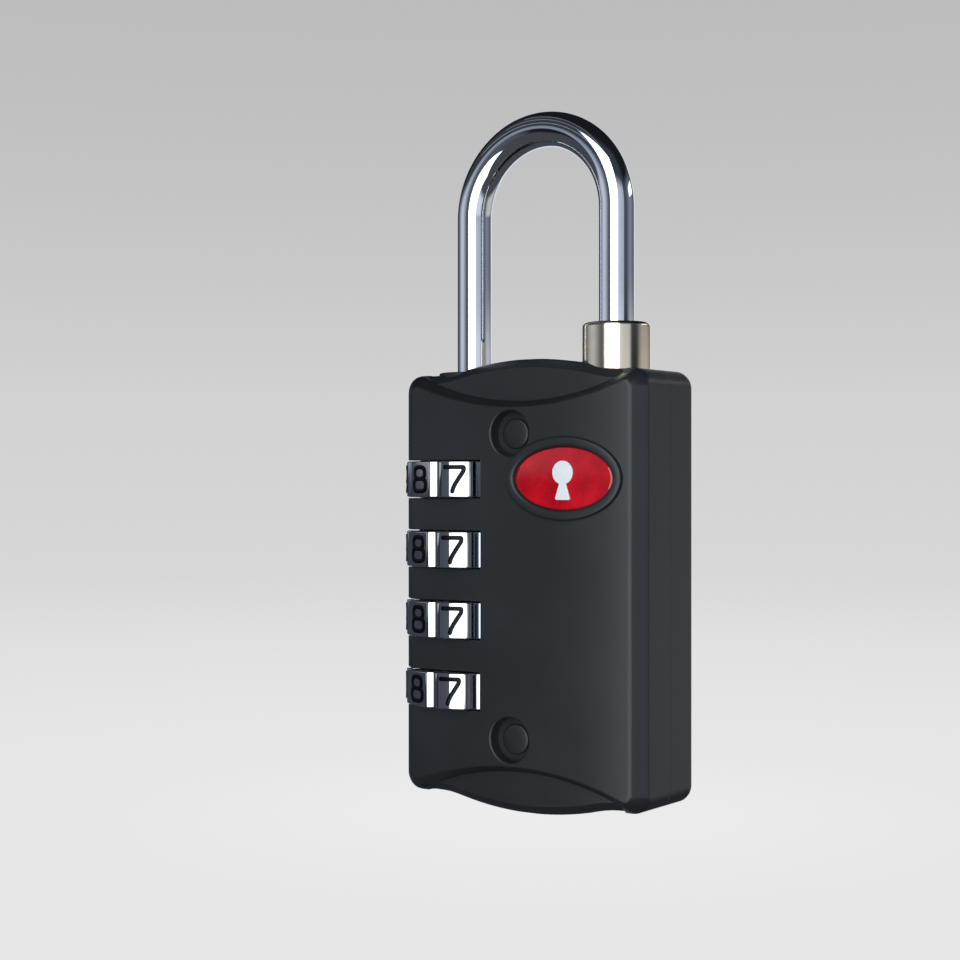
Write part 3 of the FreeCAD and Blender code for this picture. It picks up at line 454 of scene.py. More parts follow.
class Graph:
    """The node tree of a material or a world, with short ways to add to it."""

    def __init__(self, owner: bpy.types.Material | bpy.types.World) -> None:
        """Empty the owner's tree, ready to be filled.

        Args:
            owner: The material or world that the tree belongs to.
        """
        owner.use_nodes = True
        self.owner = owner
        self.tree = owner.node_tree
        self.tree.nodes.clear()

    @classmethod
    def of_material(cls, name: str) -> "Graph":
        """The tree of a new material."""
        return cls(bpy.data.materials.new(name))

    def node(self, kind: str, settings: dict | None = None,
             sockets: dict | None = None) -> bpy.types.Node:
        """Add a node.

        Args:
            kind: The node's type.
            settings: Its properties, set first; "stops" gives a ramp's positions and colours.
            sockets: What goes into its sockets, by name or number: a Value, a socket or a constant.

        Returns:
            The node.
        """
        made = self.tree.nodes.new(kind)
        for name, setting in (settings or {}).items():
            if name == "stops":
                self._set_stops(made.color_ramp, setting)
            else:
                setattr(made, name, setting)
        for key, content in (sockets or {}).items():
            socket = made.inputs[key]
            if isinstance(content, Value):
                content = content.socket
            if isinstance(content, bpy.types.NodeSocket):
                self.tree.links.new(content, socket)
            elif socket.type == "RGBA" and len(content) == 3:
                socket.default_value = (*content, 1.0)
            else:
                socket.default_value = content
        return made

    @staticmethod
    def _set_stops(ramp: bpy.types.ColorRamp, stops: Stops) -> None:
        """Give a ramp its positions and colours.

        Args:
            ramp: The ramp, as a new node has it.
            stops: Positions from 0 to 1 and their colours, in order.
        """
        for n, (position, colour) in enumerate(stops):
            stop = ramp.elements[n] if n < len(ramp.elements) else ramp.elements.new(position)
            stop.position = position
            stop.color = (*colour, 1.0)

    def place(self, stretch: Triple = (1.0, 1.0, 1.0)) -> bpy.types.NodeSocket:
        """Each point's place on its own piece, stretched along the axes."""
        here = self.node("ShaderNodeTexCoord").outputs["Object"]
        return self.node("ShaderNodeMapping", None, {"Vector": here, "Scale": stretch}).outputs[0]

    def noise(self, scale: float, stretch: Triple = (1.0, 1.0, 1.0), detail: float = 3.0,
              roughness: float = 0.55) -> Value:
        """Cloudy noise.

        Args:
            scale: How many clouds lie along a metre.
            stretch: How much denser they are along each axis.
            detail: How many finer layers are added.
            roughness: How strong the finer layers are.

        Returns:
            A value around 0.5.
        """
        made = self.node("ShaderNodeTexNoise", None, {
            "Vector": self.place(stretch), "Scale": scale, "Detail": detail, "Roughness": roughness})
        return Value(self, made.outputs[0])

    def mix(self, mask: Value | float, first: object, second: object) -> bpy.types.NodeSocket:
        """Mix two colours by a mask."""
        made = self.node("ShaderNodeMix", {"data_type": "RGBA"}, {0: mask, 6: first, 7: second})
        return made.outputs[2]

    def bump(self, height: Value, strength: float, depth: float,
             under: bpy.types.NodeSocket | None = None) -> bpy.types.NodeSocket:
        """Turn a height into a normal.

        Args:
            height: The height, from 0 to 1.
            strength: How much of the effect is used.
            depth: What a height of 1 stands for, in metres.
            under: The normal that the relief lies on, if it isn't the surface's own.

        Returns:
            The normal socket.
        """
        sockets = {"Strength": strength, "Distance": depth, "Height": height}
        if under:
            sockets["Normal"] = under
        return self.node("ShaderNodeBump", None, sockets).outputs["Normal"]

    def parts(self, kind: str, output: str) -> list[Value]:
        """The three coordinates of an input node's vector.

        Args:
            kind: The node's type.
            output: The name of its vector's socket.

        Returns:
            Three values.
        """
        vector = self.node(kind).outputs[output]
        split = self.node("ShaderNodeSeparateXYZ", None, {0: vector})
        return [Value(self, socket) for socket in split.outputs]

    def ramp(self, place: Value, stops: Stops) -> bpy.types.NodeSocket:
        """A colour that changes with a value.

        Args:
            place: The value, from 0 to 1.
            stops: Positions and their colours.

        Returns:
            The colour socket.
        """
        made = self.node("ShaderNodeValToRGB", {"stops": stops}, {"Fac": place})
        return made.outputs["Color"]

    def surface(self, sockets: dict) -> bpy.types.Material:
        """Close the tree with a Principled shader.

        Args:
            sockets: What goes into the shader's sockets.

        Returns:
            The finished material.
        """
        shader = self.node("ShaderNodeBsdfPrincipled", None, sockets)
        return self.close(shader, "ShaderNodeOutputMaterial")

    def close(self, shader: bpy.types.Node, kind: str) -> bpy.types.Material | bpy.types.World:
        """Lead a shader to an output of the given type, and hand back the tree's owner."""
        self.node(kind, None, {"Surface": shader.outputs[0]})
        return self.owner


# ---------------------------------------------------------------- finishes

@dataclass(frozen=True)
class Finish(ABC):
    """A finish that makes one material."""

    name: str
    slot: str

    @abstractmethod
    def make(self) -> bpy.types.Material:
        """Build the material."""


@dataclass(frozen=True)
class SatinEnamel(Finish):
    """Baked satin enamel over faces that fall away a little towards the sides."""

    colour: Colour = (0.0138, 0.0153, 0.0168)
    worn: Colour = (0.0183, 0.0206, 0.0226)
    roughness: float = 0.40
    peel: float = 900.0
    grain: float = 9000.0
    fall: float = 0.80 * MM
    middle: float = 0.30 * MM
    reach: float = 11.70 * MM
    steepness: float = 3.0
    relief: float = 0.35
    relief_depth: float = 0.008 * MM

    def make(self) -> bpy.types.Material:
        """Build the material.

        Returns:
            The new material.
        """
        graph = Graph.of_material(self.name)
        peel = graph.noise(self.peel, detail=2.0)
        grain = graph.noise(self.grain, detail=1.0)
        cloud = graph.noise(self.peel / 9, detail=4.0)
        mask = cloud.between(0.35, 0.75)
        relief = peel * 0.75 + grain * 0.25
        across = graph.parts("ShaderNodeTexCoord", "Object")[0]
        crown = 1 - abs((across - self.middle) / self.reach).capped(1.0) ** self.steepness
        return graph.surface({
            "Base Color": graph.mix(mask, self.colour, self.worn),
            "Roughness": self.roughness + (cloud - 0.5) * 0.10 + (grain - 0.5) * 0.06,
            "Specular IOR Level": 0.5,
            "Normal": graph.bump(relief, self.relief, self.relief_depth,
                                 graph.bump(crown, 1.0, self.fall)),
        })


@dataclass(frozen=True)
class Plated(Finish):
    """Polished plating, with fine hairline scratches and faint smears."""

    colour: Colour = (0.80, 0.82, 0.86)
    shade: Colour = (0.62, 0.65, 0.70)
    roughness: float = 0.05
    smear: float = 260.0
    hairline: float = 1500.0
    relief: float = 0.03
    depth: float = 0.0006 * MM
    wave: float = 190.0
    wave_relief: float = 0.5
    wave_depth: float = 0.004 * MM

    def make(self) -> bpy.types.Material:
        """Build the material.

        Returns:
            The new material.
        """
        graph = Graph.of_material(self.name)
        smear = graph.noise(self.smear, detail=5.0)
        hair = graph.noise(self.hairline, stretch=(1.0, 1.0, 0.08), detail=2.0)
        wave = graph.noise(self.wave, detail=1.0)
        mask = smear.between(0.45, 0.85)
        return graph.surface({
            "Base Color": graph.mix(mask * 0.6, self.colour, self.shade),
            "Metallic": 1.0,
            "Roughness": self.roughness + mask * 0.05 + (hair - 0.5) * 0.03,
            "Normal": graph.bump(hair, self.relief, self.depth,
                                 graph.bump(wave, self.wave_relief, self.wave_depth)),
        })


@dataclass(frozen=True)
class Worked(Finish):
    """Worked metal: tool marks drawn along one axis over a mottled tone."""

    colour: Colour = (0.50, 0.51, 0.53)
    shade: Colour = (0.34, 0.35, 0.37)
    roughness: float = 0.30
    marks: float = 3000.0
    stretch: Triple = (0.05, 0.05, 1.0)
    relief: float = 0.4
    depth: float = 0.003 * MM

    def make(self) -> bpy.types.Material:
        """Build the material.

        Returns:
            The new material.
        """
        graph = Graph.of_material(self.name)
        marks = graph.noise(self.marks, stretch=self.stretch, detail=3.0)
        tone = graph.noise(self.marks / 12, detail=4.0)
        mask = (marks * 0.6 + tone * 0.4).between(0.35, 0.7)
        return graph.surface({
            "Base Color": graph.mix(mask, self.shade, self.colour),
            "Metallic": 1.0,
            "Roughness": self.roughness + (1 - mask) * 0.12,
            "Normal": graph.bump(marks, self.relief, self.depth),
        })


@dataclass(frozen=True)
class Moulded(Finish):
    """Moulded nylon with a fine spark-eroded texture."""

    colour: Colour = (0.012, 0.012, 0.013)
    tint: Colour = (0.020, 0.020, 0.021)
    roughness: float = 0.5
    grain: float = 5200.0
    relief: float = 0.5
    depth: float = 0.006 * MM

    def make(self) -> bpy.types.Material:
        """Build the material.

        Returns:
            The new material.
        """
        graph = Graph.of_material(self.name)
        grain = graph.noise(self.grain, detail=3.0)
        return graph.surface({
            "Base Color": graph.mix(grain.between(0.4, 0.7), self.colour, self.tint),
            "Roughness": self.roughness + (grain - 0.5) * 0.2,
            "Normal": graph.bump(grain, self.relief, self.depth),
        })


@dataclass(frozen=True)
class Lacquer(Finish):
    """Thick gloss lacquer or glass enamel, a little uneven in tone and surface."""

    colour: Colour = (0.66, 0.008, 0.020)
    tint: Colour = (0.44, 0.004, 0.011)
    roughness: float = 0.10
    cloud: float = 420.0
    coat: float = 0.6
    shine: float = 0.5
    relief: float = 0.3
    depth: float = 0.01 * MM

    def make(self) -> bpy.types.Material:
        """Build the material.

        Returns:
            The new material.
        """
        graph = Graph.of_material(self.name)
        cloud = graph.noise(self.cloud, detail=4.0)
        fleck = graph.noise(self.cloud * 14, detail=2.0)
        mask = (cloud * 0.7 + fleck * 0.3).between(0.38, 0.66)
        return graph.surface({
            "Base Color": graph.mix(mask, self.tint, self.colour),
            "Roughness": self.roughness + fleck * 0.06,
            "Specular IOR Level": self.shine,
            "Coat Weight": self.coat,
            "Coat Roughness": 0.04,
            "Normal": graph.bump(cloud, self.relief, self.depth),
        })


class Finishes:
    """Every finish of the lock, made once each."""

    def __init__(self) -> None:
        """Choose the finishes; their materials are made when first asked for."""
        self.enamel = SatinEnamel("black_enamel", "black_enamel")
        self.shackle = Plated("shackle_chrome", "shackle_chrome")
        self.dials = Plated("dial_chrome", "dial_chrome", colour=(0.66, 0.67, 0.71),
                            shade=(0.54, 0.55, 0.60), roughness=0.045, smear=420.0)
        self.nickel = Plated("collar_nickel", "collar_nickel", colour=(0.80, 0.70, 0.54),
                             shade=(0.68, 0.59, 0.45), roughness=0.15, depth=0.0015 * MM)
        self.nylon = Moulded("bush_plastic", "bush_plastic")
        self.figures = Lacquer("figure_lacquer", "dial_chrome", colour=(0.0030, 0.0030, 0.0035),
                               tint=(0.0015, 0.0015, 0.0018), roughness=0.22, coat=0.0, shine=0.12)
        self.spring = Worked("spring_steel", "spring_steel", colour=(0.58, 0.59, 0.61),
                             shade=(0.36, 0.37, 0.40), roughness=0.22)
        # Brass kept far darker than fresh brass, as painted shade for the hubs seen in the gaps between
        # the dials; the plug and the wafers share it.
        self.brass = Worked("hub_brass", "hub_brass", colour=(0.42, 0.31, 0.15),
                            shade=(0.22, 0.16, 0.08), roughness=0.34)
        self.steel = Worked("mechanism_steel", "mechanism_steel")
        self.red = Lacquer("badge_red", "badge_red")
        self.white = Lacquer("badge_white", "badge_white", colour=(0.92, 0.92, 0.91),
                             tint=(0.84, 0.84, 0.85), roughness=0.2, coat=0.4)
        self._made: dict[str, bpy.types.Material] = {}

    def material(self, finish: Finish) -> bpy.types.Material:
        """The material of a finish.

        Args:
            finish: The finish.

        Returns:
            Its one material, made at the first call.
        """
        if finish.name not in self._made:
            self._made[finish.name] = finish.make()
        return self._made[finish.name]


# ---------------------------------------------------------------- places

class Layout:
    """Where the frame puts the lock's axes and faces."""

    def __init__(self) -> None:
        """Read the frame's boxes and joints."""
        cover_low, cover_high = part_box("front_cover")
        frame_low, frame_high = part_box("front_frame")
        self.centre = Vector(((cover_low.x + cover_high.x) / 2, 0, (cover_low.z + cover_high.z) / 2))
        self.half_width = (cover_high.x - cover_low.x) / 2
        self.half_height = (cover_high.z - cover_low.z) / 2
        self.face = -cover_low.y
        self.frame_face = -frame_low.y
        self.dome_rise = frame_high.z - cover_high.z
        turns = [j for j in frame["joints"] if j["child"].startswith("dial_")]
        self.dial_centres = [Vector(j["pos_m"]) for j in turns]
        self.dial_bodies = [j["child"] for j in turns]
        self.leg_x = self.dial_centres[0].x
        self.toe_x = self.middle("toe_collar").x
        ring_low, ring_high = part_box("dial_ring_1")
        self.dial_half = (ring_high.z - ring_low.z) / 2

    @staticmethod
    def middle(node: str) -> Vector:
        """The middle of a node's box."""
        low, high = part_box(node)
        return (low + high) / 2


@dataclass
class Assembly(ABC):
    """A sub-assembly of the lock."""

    layout: Layout
    finishes: Finishes

    @abstractmethod
    def build(self) -> None:
        """Make the sub-assembly's pieces."""

    def piece(self, name: str, form: Form, finish: Finish, body: str, *nodes: str) -> bpy.types.Object:
        """Finish a solid as a visible piece.

        Args:
            name: The piece's name.
            form: Its solid, which is used up.
            finish: Its finish.
            body: The body it rides on.
            nodes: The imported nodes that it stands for.

        Returns:
            The piece.
        """
        for face in form.mesh.faces:
            face.smooth = True
        for edge in form.mesh.edges:
            edge.smooth = not sharp(edge, CREASE)
        thing = form.holder(name)
        weighting = thing.modifiers.new("even_shading", "WEIGHTED_NORMAL")
        weighting.keep_sharp = True
        thing.data.materials.append(self.finishes.material(finish))
        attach(thing, body)
        if nodes:
            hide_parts(*nodes)
        LOG.info("%s: %d faces", name, len(thing.data.polygons))
        return thing

    def dress(self, node: str, finish: Finish) -> None:
        """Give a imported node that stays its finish.

        Args:
            node: The node's name.
            finish: Its finish.
        """
        thing = frame["nodes"][node]
        thing.data.materials.clear()
        thing.data.materials.append(self.finishes.material(finish))
        LOG.info("%s: kept, in %s", node, finish.name)


# ---------------------------------------------------------------- casing

@dataclass(frozen=True)
class CasingSizes:
    """Sizes of the covers and the frame."""

    side_bevel: float = 1.17 * MM
    arc_bevel: float = 1.05 * MM
    back_corner: float = 1.60 * MM
    face_corner: float = 0.75 * MM
    dip: float = 2.55 * MM
    face_dip: float = 2.10 * MM
    cusp_angle: float = 16.0
    cusp_reach: float = 0.55 * MM
    edge: float = 0.16 * MM
    seam: float = 0.05 * MM
    dome_radius: float = 30.0 * MM
    dome_edge: float = 0.75 * MM
    dome_end: float = 10.0 * MM
    dome_fade: float = 0.60 * MM
    dome_blend: float = 0.25 * MM
    dome_soft: float = 0.12 * MM
    window_radius: float = 6.50 * MM
    window_half: float = 1.75 * MM
    window_edge: float = 0.09 * MM
    recess_radius: float = 2.00 * MM
    recess_depth: float = 1.30 * MM
    recess_rim: float = 0.22 * MM
    seat_depth: float = 0.40 * MM
    foot_radius: float = 2.95 * MM
    foot_height: float = 1.20 * MM
    stem_inset: float = 5.20 * MM
    stem_width: float = 1.40 * MM
    stem_half: float = 0.60 * MM
    slide_foot_rise: float = 3.05 * MM
    slide_foot_height: float = 0.80 * MM
    slide_travel: float = 1.60 * MM
    tab_start: float = 3.35 * MM
    tab_height: float = 0.80 * MM
    wire_room: float = 0.10 * MM
    spring_seat: float = 0.8
    bush_bite: float = 0.02 * MM
    bush_neck_room: float = 2.70 * MM
    collar_sleeve: float = 6.70 * MM
    sleeve_room: float = 3.12 * MM
    cam_room: float = 2.60 * MM
    through: float = 2.00 * MM
    gap: float = 0.05 * MM
    room: float = 0.15 * MM
    arc_steps: int = 44
    corner_steps: int = 8


@dataclass
class Casing(Assembly):
    """Two bevelled covers over a frame that is split at the middle."""

    sizes: CasingSizes = CasingSizes()

    def build(self) -> None:
        """Make the covers and the frame halves."""
        for side in Side:
            name = side.name.lower()
            self.piece(f"{name}_cover_shell", self.cover(side), self.finishes.enamel, "casing",
                       f"{name}_cover")
            self.piece(f"{name}_frame_half", self.frame_half(side), self.finishes.enamel, "casing",
                       f"{name}_frame")

    def cover_outline(self, share: float) -> list[Point]:
        """The cover's outline between its foot and its face.

        Args:
            share: 0 at the foot of the bevel, 1 at its top; above 1 lies on the face.

        Returns:
            X and Z points, anticlockwise, equally many for every share.
        """
        s = self.sizes
        side = self.layout.half_width - s.side_bevel * share
        top = self.layout.half_height - s.arc_bevel * share
        radius = s.back_corner + (s.face_corner - s.back_corner) * share
        corner = side - radius
        dip = s.dip + (s.face_dip - s.dip) * share
        sweep = (corner**2 + dip**2) / (2 * dip)

        def on_sweep(x: float) -> Point:
            """A point of the long concave arc."""
            return x, top - dip + sweep - math.sqrt(sweep**2 - x**2)

        hump = arc((corner, top - radius), radius, 0, 90 - s.cusp_angle, s.corner_steps)
        start, stop = corner - s.cusp_reach, s.cusp_reach - corner
        bow = [on_sweep(start + (stop - start) * n / s.arc_steps) for n in range(s.arc_steps + 1)]
        right = hump + bend(hump[-1], (corner, top), bow[0], 6) + bow[:s.arc_steps // 2 + 1]
        left = [(-x, z) for x, z in reversed(right[:-1])]
        upper = right + left
        lower = [(-x, -z) for x, z in upper]
        centre = self.layout.centre
        return [(centre.x + x, centre.z + z) for x, z in upper + lower]

    def cover(self, side: Side) -> Form:
        """A cover plate with its windows and recesses.

        Args:
            side: The face that it stands on.

        Returns:
            The solid.
        """
        s, at = self.sizes, self.layout
        depth = at.face - at.frame_face
        foot = s.seam / depth
        lean = s.edge / depth
        path = [(foot, at.frame_face), (foot * 1.2, at.frame_face + s.seam)]
        path += [(1 - lean, at.face - s.edge)]
        path += bend((1 - lean, at.face - s.edge), (1.0, at.face), (1 + lean * 1.4, at.face), 5)
        path += [(1 + lean * 1.4, at.face)]
        rings = [face_ring(self.cover_outline(share), side.value * y) for share, y in path]
        plate = Form.loft(rings)
        tools = self.windows() + self.recesses(side)
        if side is Side.FRONT:
            tools.append(self.badge_seat())
        return plate.cut(*tools).soften(s.window_edge, self.on_window)

    def windows(self) -> list[Form]:
        """Round pockets for the dials, which break out of the face, the side and the back.

        Returns:
            The solids to take away.
        """
        s = self.sizes
        profile = [(0.0, -s.window_half), (s.window_radius, -s.window_half),
                   (s.window_radius, s.window_half), (0.0, s.window_half)]
        return [Form.turned(profile, centre, steps=128) for centre in self.layout.dial_centres]

    def recesses(self, side: Side) -> list[Form]:
        """Flared recesses for the rivet heads.

        Args:
            side: The face that they are in.

        Returns:
            The solids to take away.
        """
        s = self.sizes
        face, floor = self.layout.face, self.layout.face - s.recess_depth
        rim = [(s.recess_radius + cut, face + s.gap - rise)
               for cut, rise in ((s.recess_rim, 0), (s.recess_rim, s.gap))]
        rim += [(s.recess_radius + inward, face - outward) for inward, outward in
                ((s.recess_rim * (1 - math.sin(a)), s.recess_rim * (1 - math.cos(a)))
                 for a in (math.radians(90 * n / 4) for n in range(1, 5)))]
        rim[-1] = (s.recess_radius, face - s.recess_rim)
        half = [(0.0, face + s.gap), *rim, (s.recess_radius, floor + s.gap),
                (s.recess_radius - s.gap, floor), (0.0, floor)]
        profile = [(r, side.value * y) for r, y in half]
        return [Form.turned(profile, centre, Axis.DEPTH, 72) for centre in self.rivet_centres()]

    def rivet_centres(self) -> list[Vector]:
        """The middles of the two rivets.

        Returns:
            The upper one and the lower one.
        """
        low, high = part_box("casing_rivets")
        radius = (high.x - low.x) / 2
        x = (low.x + high.x) / 2
        return [Vector((x, 0, high.z - radius)), Vector((x, 0, low.z + radius))]

    def badge_seat(self) -> Form:
        """The oval seat of the badge's insert.

        Returns:
            The solid to take away.
        """
        low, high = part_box("emblem_insert")
        middle = (low + high) / 2
        wide, tall = (high.x - low.x) / 2 + self.sizes.gap, (high.z - low.z) / 2 + self.sizes.gap
        plan = [(middle.x + wide * x, middle.z + tall * z) for x, z in arc((0, 0), 1, 0, 360, 96)[:-1]]
        face = self.layout.face
        return Form.loft([face_ring(plan, -face - self.sizes.gap),
                          face_ring(plan, self.sizes.seat_depth - face)])

    def on_window(self, edge: bmesh.types.BMEdge) -> bool:
        """Tell where a dial pocket breaks out of the casing.

        Args:
            edge: An edge of the cut solid.

        Returns:
            Whether the edge is such a place.
        """
        if not sharp(edge, 30.0):
            return False
        return sum(self.in_pocket(face) for face in edge.link_faces) == 1

    def in_pocket(self, face: bmesh.types.BMFace) -> bool:
        """Tell a dial pocket's faces.

        Args:
            face: A face of the cut solid.

        Returns:
            Whether the face belongs to a pocket.
        """
        s = self.sizes
        middle = face.calc_center_median()
        for centre in self.layout.dial_centres:
            level = abs(middle.z - centre.z)
            if abs(level - s.window_half) < 0.01 * MM and abs(face.normal.z) > 0.99:
                return True
            reach = max(math.hypot(v.co.x - centre.x, v.co.y - centre.y) for v in face.verts)
            if level < s.window_half and abs(reach - s.window_radius) < 0.02 * MM \
                    and abs(face.normal.z) < 0.1:
                return True
        return False

    def frame_outline(self, dome_inset: float, edge_inset: float) -> list[Point]:
        """The frame's outline at one depth.

        Args:
            dome_inset: How far the domed stretch is drawn in.
            edge_inset: How far the whole outline is drawn in.

        Returns:
            X and Z points, anticlockwise, equally many for every depth.
        """
        s, at = self.sizes, self.layout
        side = at.half_width - edge_inset
        top = at.half_height - edge_inset
        corner = side - s.back_corner
        start = s.dome_end + s.dome_fade

        def height(x: float) -> float:
            """The height of the top edge.

            Args:
                x: How far across the casing, from its middle.

            Returns:
                The height from the casing's middle.
            """
            dome = at.half_height + at.dome_rise - s.dome_radius + math.sqrt(s.dome_radius**2 - x**2)
            crown = (dome + at.half_height + math.hypot(dome - at.half_height, s.dome_blend)) / 2
            crown = min(crown, at.half_height + at.dome_rise)
            share = min(max((start - abs(x)) / s.dome_fade, 0.0), 1.0)
            ease = share * share * (3 - 2 * share)
            return at.half_height + (crown - at.half_height - dome_inset) * ease - edge_inset

        hump = arc((corner, top - s.back_corner), s.back_corner, 0, 90, s.corner_steps)
        crest = [(x, height(x)) for x in (start - start * n / s.arc_steps for n in range(s.arc_steps))]
        upper = hump + crest
        upper += [(0.0, height(0.0))] + [(-x, z) for x, z in reversed(upper)]
        lower = [(-x, -z) for x, z in upper]
        return [(at.centre.x + x, at.centre.z + z) for x, z in upper + lower]

    def frame_half(self, side: Side) -> Form:
        """Half of the frame, with its bores.

        Args:
            side: The face that it stands on.

        Returns:
            The solid.
        """
        s, at = self.sizes, self.layout
        soft = s.dome_soft
        front = at.frame_face
        path = [(s.dome_edge + soft / 2, s.seam, front),
                (s.dome_edge, s.seam * 0.7, front - s.seam)]
        path += [(s.dome_edge - soft, 0.0, front - soft - s.seam)]
        path += [(soft * 1.5, 0.0, front - s.dome_edge + soft * 0.6)]
        path += [(soft * 0.4, 0.0, front - s.dome_edge - soft * 0.8)]
        path += [(0.0, 0.0, front - s.dome_edge - soft * 2.5), (0.0, 0.0, s.seam),
                 (0.0, s.seam, 0.0)]
        rings = [face_ring(self.frame_outline(dome, edge), side.value * y)
                 for dome, edge, y in path]
        half = Form.loft(rings)
        return half.cut(*self.windows(), *self.bores()).soften(s.window_edge, self.on_window)

    @staticmethod
    def hole(x: float, radius: float, bottom: float, top: float) -> Form:
        """A plain round hole about an upright axis."""
        profile = [(0.0, bottom), (radius, bottom), (radius, top), (0.0, top)]
        return Form.turned(profile, Vector((x, 0, 0)))

    def bore(self, node: str, x: float, room: float, low_room: float, high_room: float) -> Form:
        """A round room for a node.

        Args:
            node: The node that it holds.
            x: Where its upright axis is.
            room: How much wider it is than the node, all round.
            low_room: How far it reaches below the node.
            high_room: How far it reaches above it.

        Returns:
            The solid to take away.
        """
        low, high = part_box(node)
        radius = (high.y - low.y) / 2 + room
        return self.hole(x, radius, low.z - low_room, high.z + high_room)

    def bores(self) -> list[Form]:
        """Every room inside the frame.

        Returns:
            The solids to take away: for the leg and its hubs, the toe's collar, the key lock, and
            the slide and the leaf spring.
        """
        return self.leg_rooms() + self.toe_rooms() + self.key_rooms() + self.slide_rooms()

    def leg_rooms(self) -> list[Form]:
        """Rooms along the long leg, for the hubs, the wire, the lift spring and the bush.

        Returns:
            The solids to take away.
        """
        s, x = self.sizes, self.layout.leg_x
        hub_low, hub_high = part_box("dial_hub_4")[0].z - s.room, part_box("dial_hub_1")[1].z + s.room
        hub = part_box("dial_hub_1")[1].y - s.room
        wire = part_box("shackle")[1].y + s.wire_room
        spring_low, spring_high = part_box("shackle_spring")
        foot, seat = spring_low.z, (spring_high.x - spring_low.x) / 2 * s.spring_seat
        return [
            self.hole(x, hub, hub_low, hub_high),
            self.hole(x, wire, foot, hub_low + s.gap),
            self.hole(x, seat, foot - s.gap, foot + s.gap),
            self.bore("leg_guide_bush", x, s.gap, -s.bush_bite, s.through),
            self.hole(x, s.bush_neck_room, hub_high - s.gap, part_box("leg_guide_bush")[0].z + s.gap),
        ]

    def toe_rooms(self) -> list[Form]:
        """Rooms for the flange and the sleeve of the toe's collar.

        Returns:
            The solids to take away.
        """
        s, x = self.sizes, self.layout.toe_x
        low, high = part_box("toe_collar")
        return [
            self.bore("toe_collar", x, s.gap, s.gap, -s.collar_sleeve),
            self.hole(x, s.sleeve_room, low.z + Shackle.collar_flange, high.z + s.through),
        ]

    def key_rooms(self) -> list[Form]:
        """Rooms for the key lock's shell, from its flange to its foot, and for the clip above it.

        Returns:
            The solids to take away.
        """
        s, x = self.sizes, self.layout.toe_x
        low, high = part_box("key_cylinder_shell")
        shell = (high.y - low.y) / 2 + s.gap
        flange = high.z - KeyLock.flange_height
        foot = low.z + s.foot_height
        return [
            self.hole(x, shell, flange - s.gap, high.z + s.gap),
            self.hole(x, shell - KeyLock.flange, foot, flange),
            self.hole(x, s.foot_radius, low.z - s.through, foot + s.gap),
            self.bore("plug_retainer_clip", x, s.room, s.room, s.cam_room),
        ]

    def slide_rooms(self) -> list[Form]:
        """Rooms for the hub retainer's stem, foot and tabs, and for the leaf spring.

        Returns:
            The solids to take away.
        """
        s = self.sizes
        low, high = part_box("hub_retainer_slide")
        half = s.stem_half + s.room
        left = low.x + s.stem_inset
        stem = Form.block(Vector((left - s.room, -half, low.z - s.room)),
                          Vector((left + s.stem_width + s.slide_travel, half, high.z + s.room)))
        foot_z = low.z + s.slide_foot_rise
        foot = Form.block(Vector((left - s.room, low.y - s.room, foot_z - s.room)),
                          Vector((high.x + s.slide_travel, high.y + s.room,
                                  foot_z + s.slide_foot_height + s.room)))
        tabs = []
        for dial in self.layout.dial_centres:
            top = high.z + s.room - (self.layout.dial_centres[0].z - dial.z)
            tabs.append(Form.block(
                Vector((self.layout.leg_x + s.tab_start, -half, top - s.tab_height)),
                Vector((left, half, top))))
        leaf_low, leaf_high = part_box("dial_detent_spring")
        gap = Vector((s.gap,) * 3)
        return [stem, foot, *tabs, Form.block(leaf_low - gap, leaf_high + gap)]


@dataclass
class Rivets(Assembly):
    """The two rivets that hold the covers on."""

    around: int = 64
    edge: float = 0.18 * MM
    crown: float = 0.05 * MM
    head_height: float = 0.40 * MM
    shank: float = 0.90 * MM

    def build(self) -> None:
        """Turn both rivets, headed at each end."""
        low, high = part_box("casing_rivets")
        radius = (high.x - low.x) / 2
        face = high.y
        x = (low.x + high.x) / 2
        half = [(0.0, face), (radius * 0.5, face - self.crown * 0.3)]
        half += [(radius - cut, face - self.crown - along)
                 for cut, along in reversed(edge_steps(self.edge))]
        half += [(radius, face - self.head_height), (self.shank, face - self.head_height)]
        profile = half + [(r, -y) for r, y in reversed(half)]
        pair = None
        for z in (high.z - radius, low.z + radius):
            rivet = Form.turned(profile, Vector((x, 0, z)), Axis.DEPTH, self.around)
            pair = pair.join(rivet) if pair else rivet
        self.piece("rivet_pair", pair, self.finishes.enamel, "casing", "casing_rivets")


# ---------------------------------------------------------------- shackle

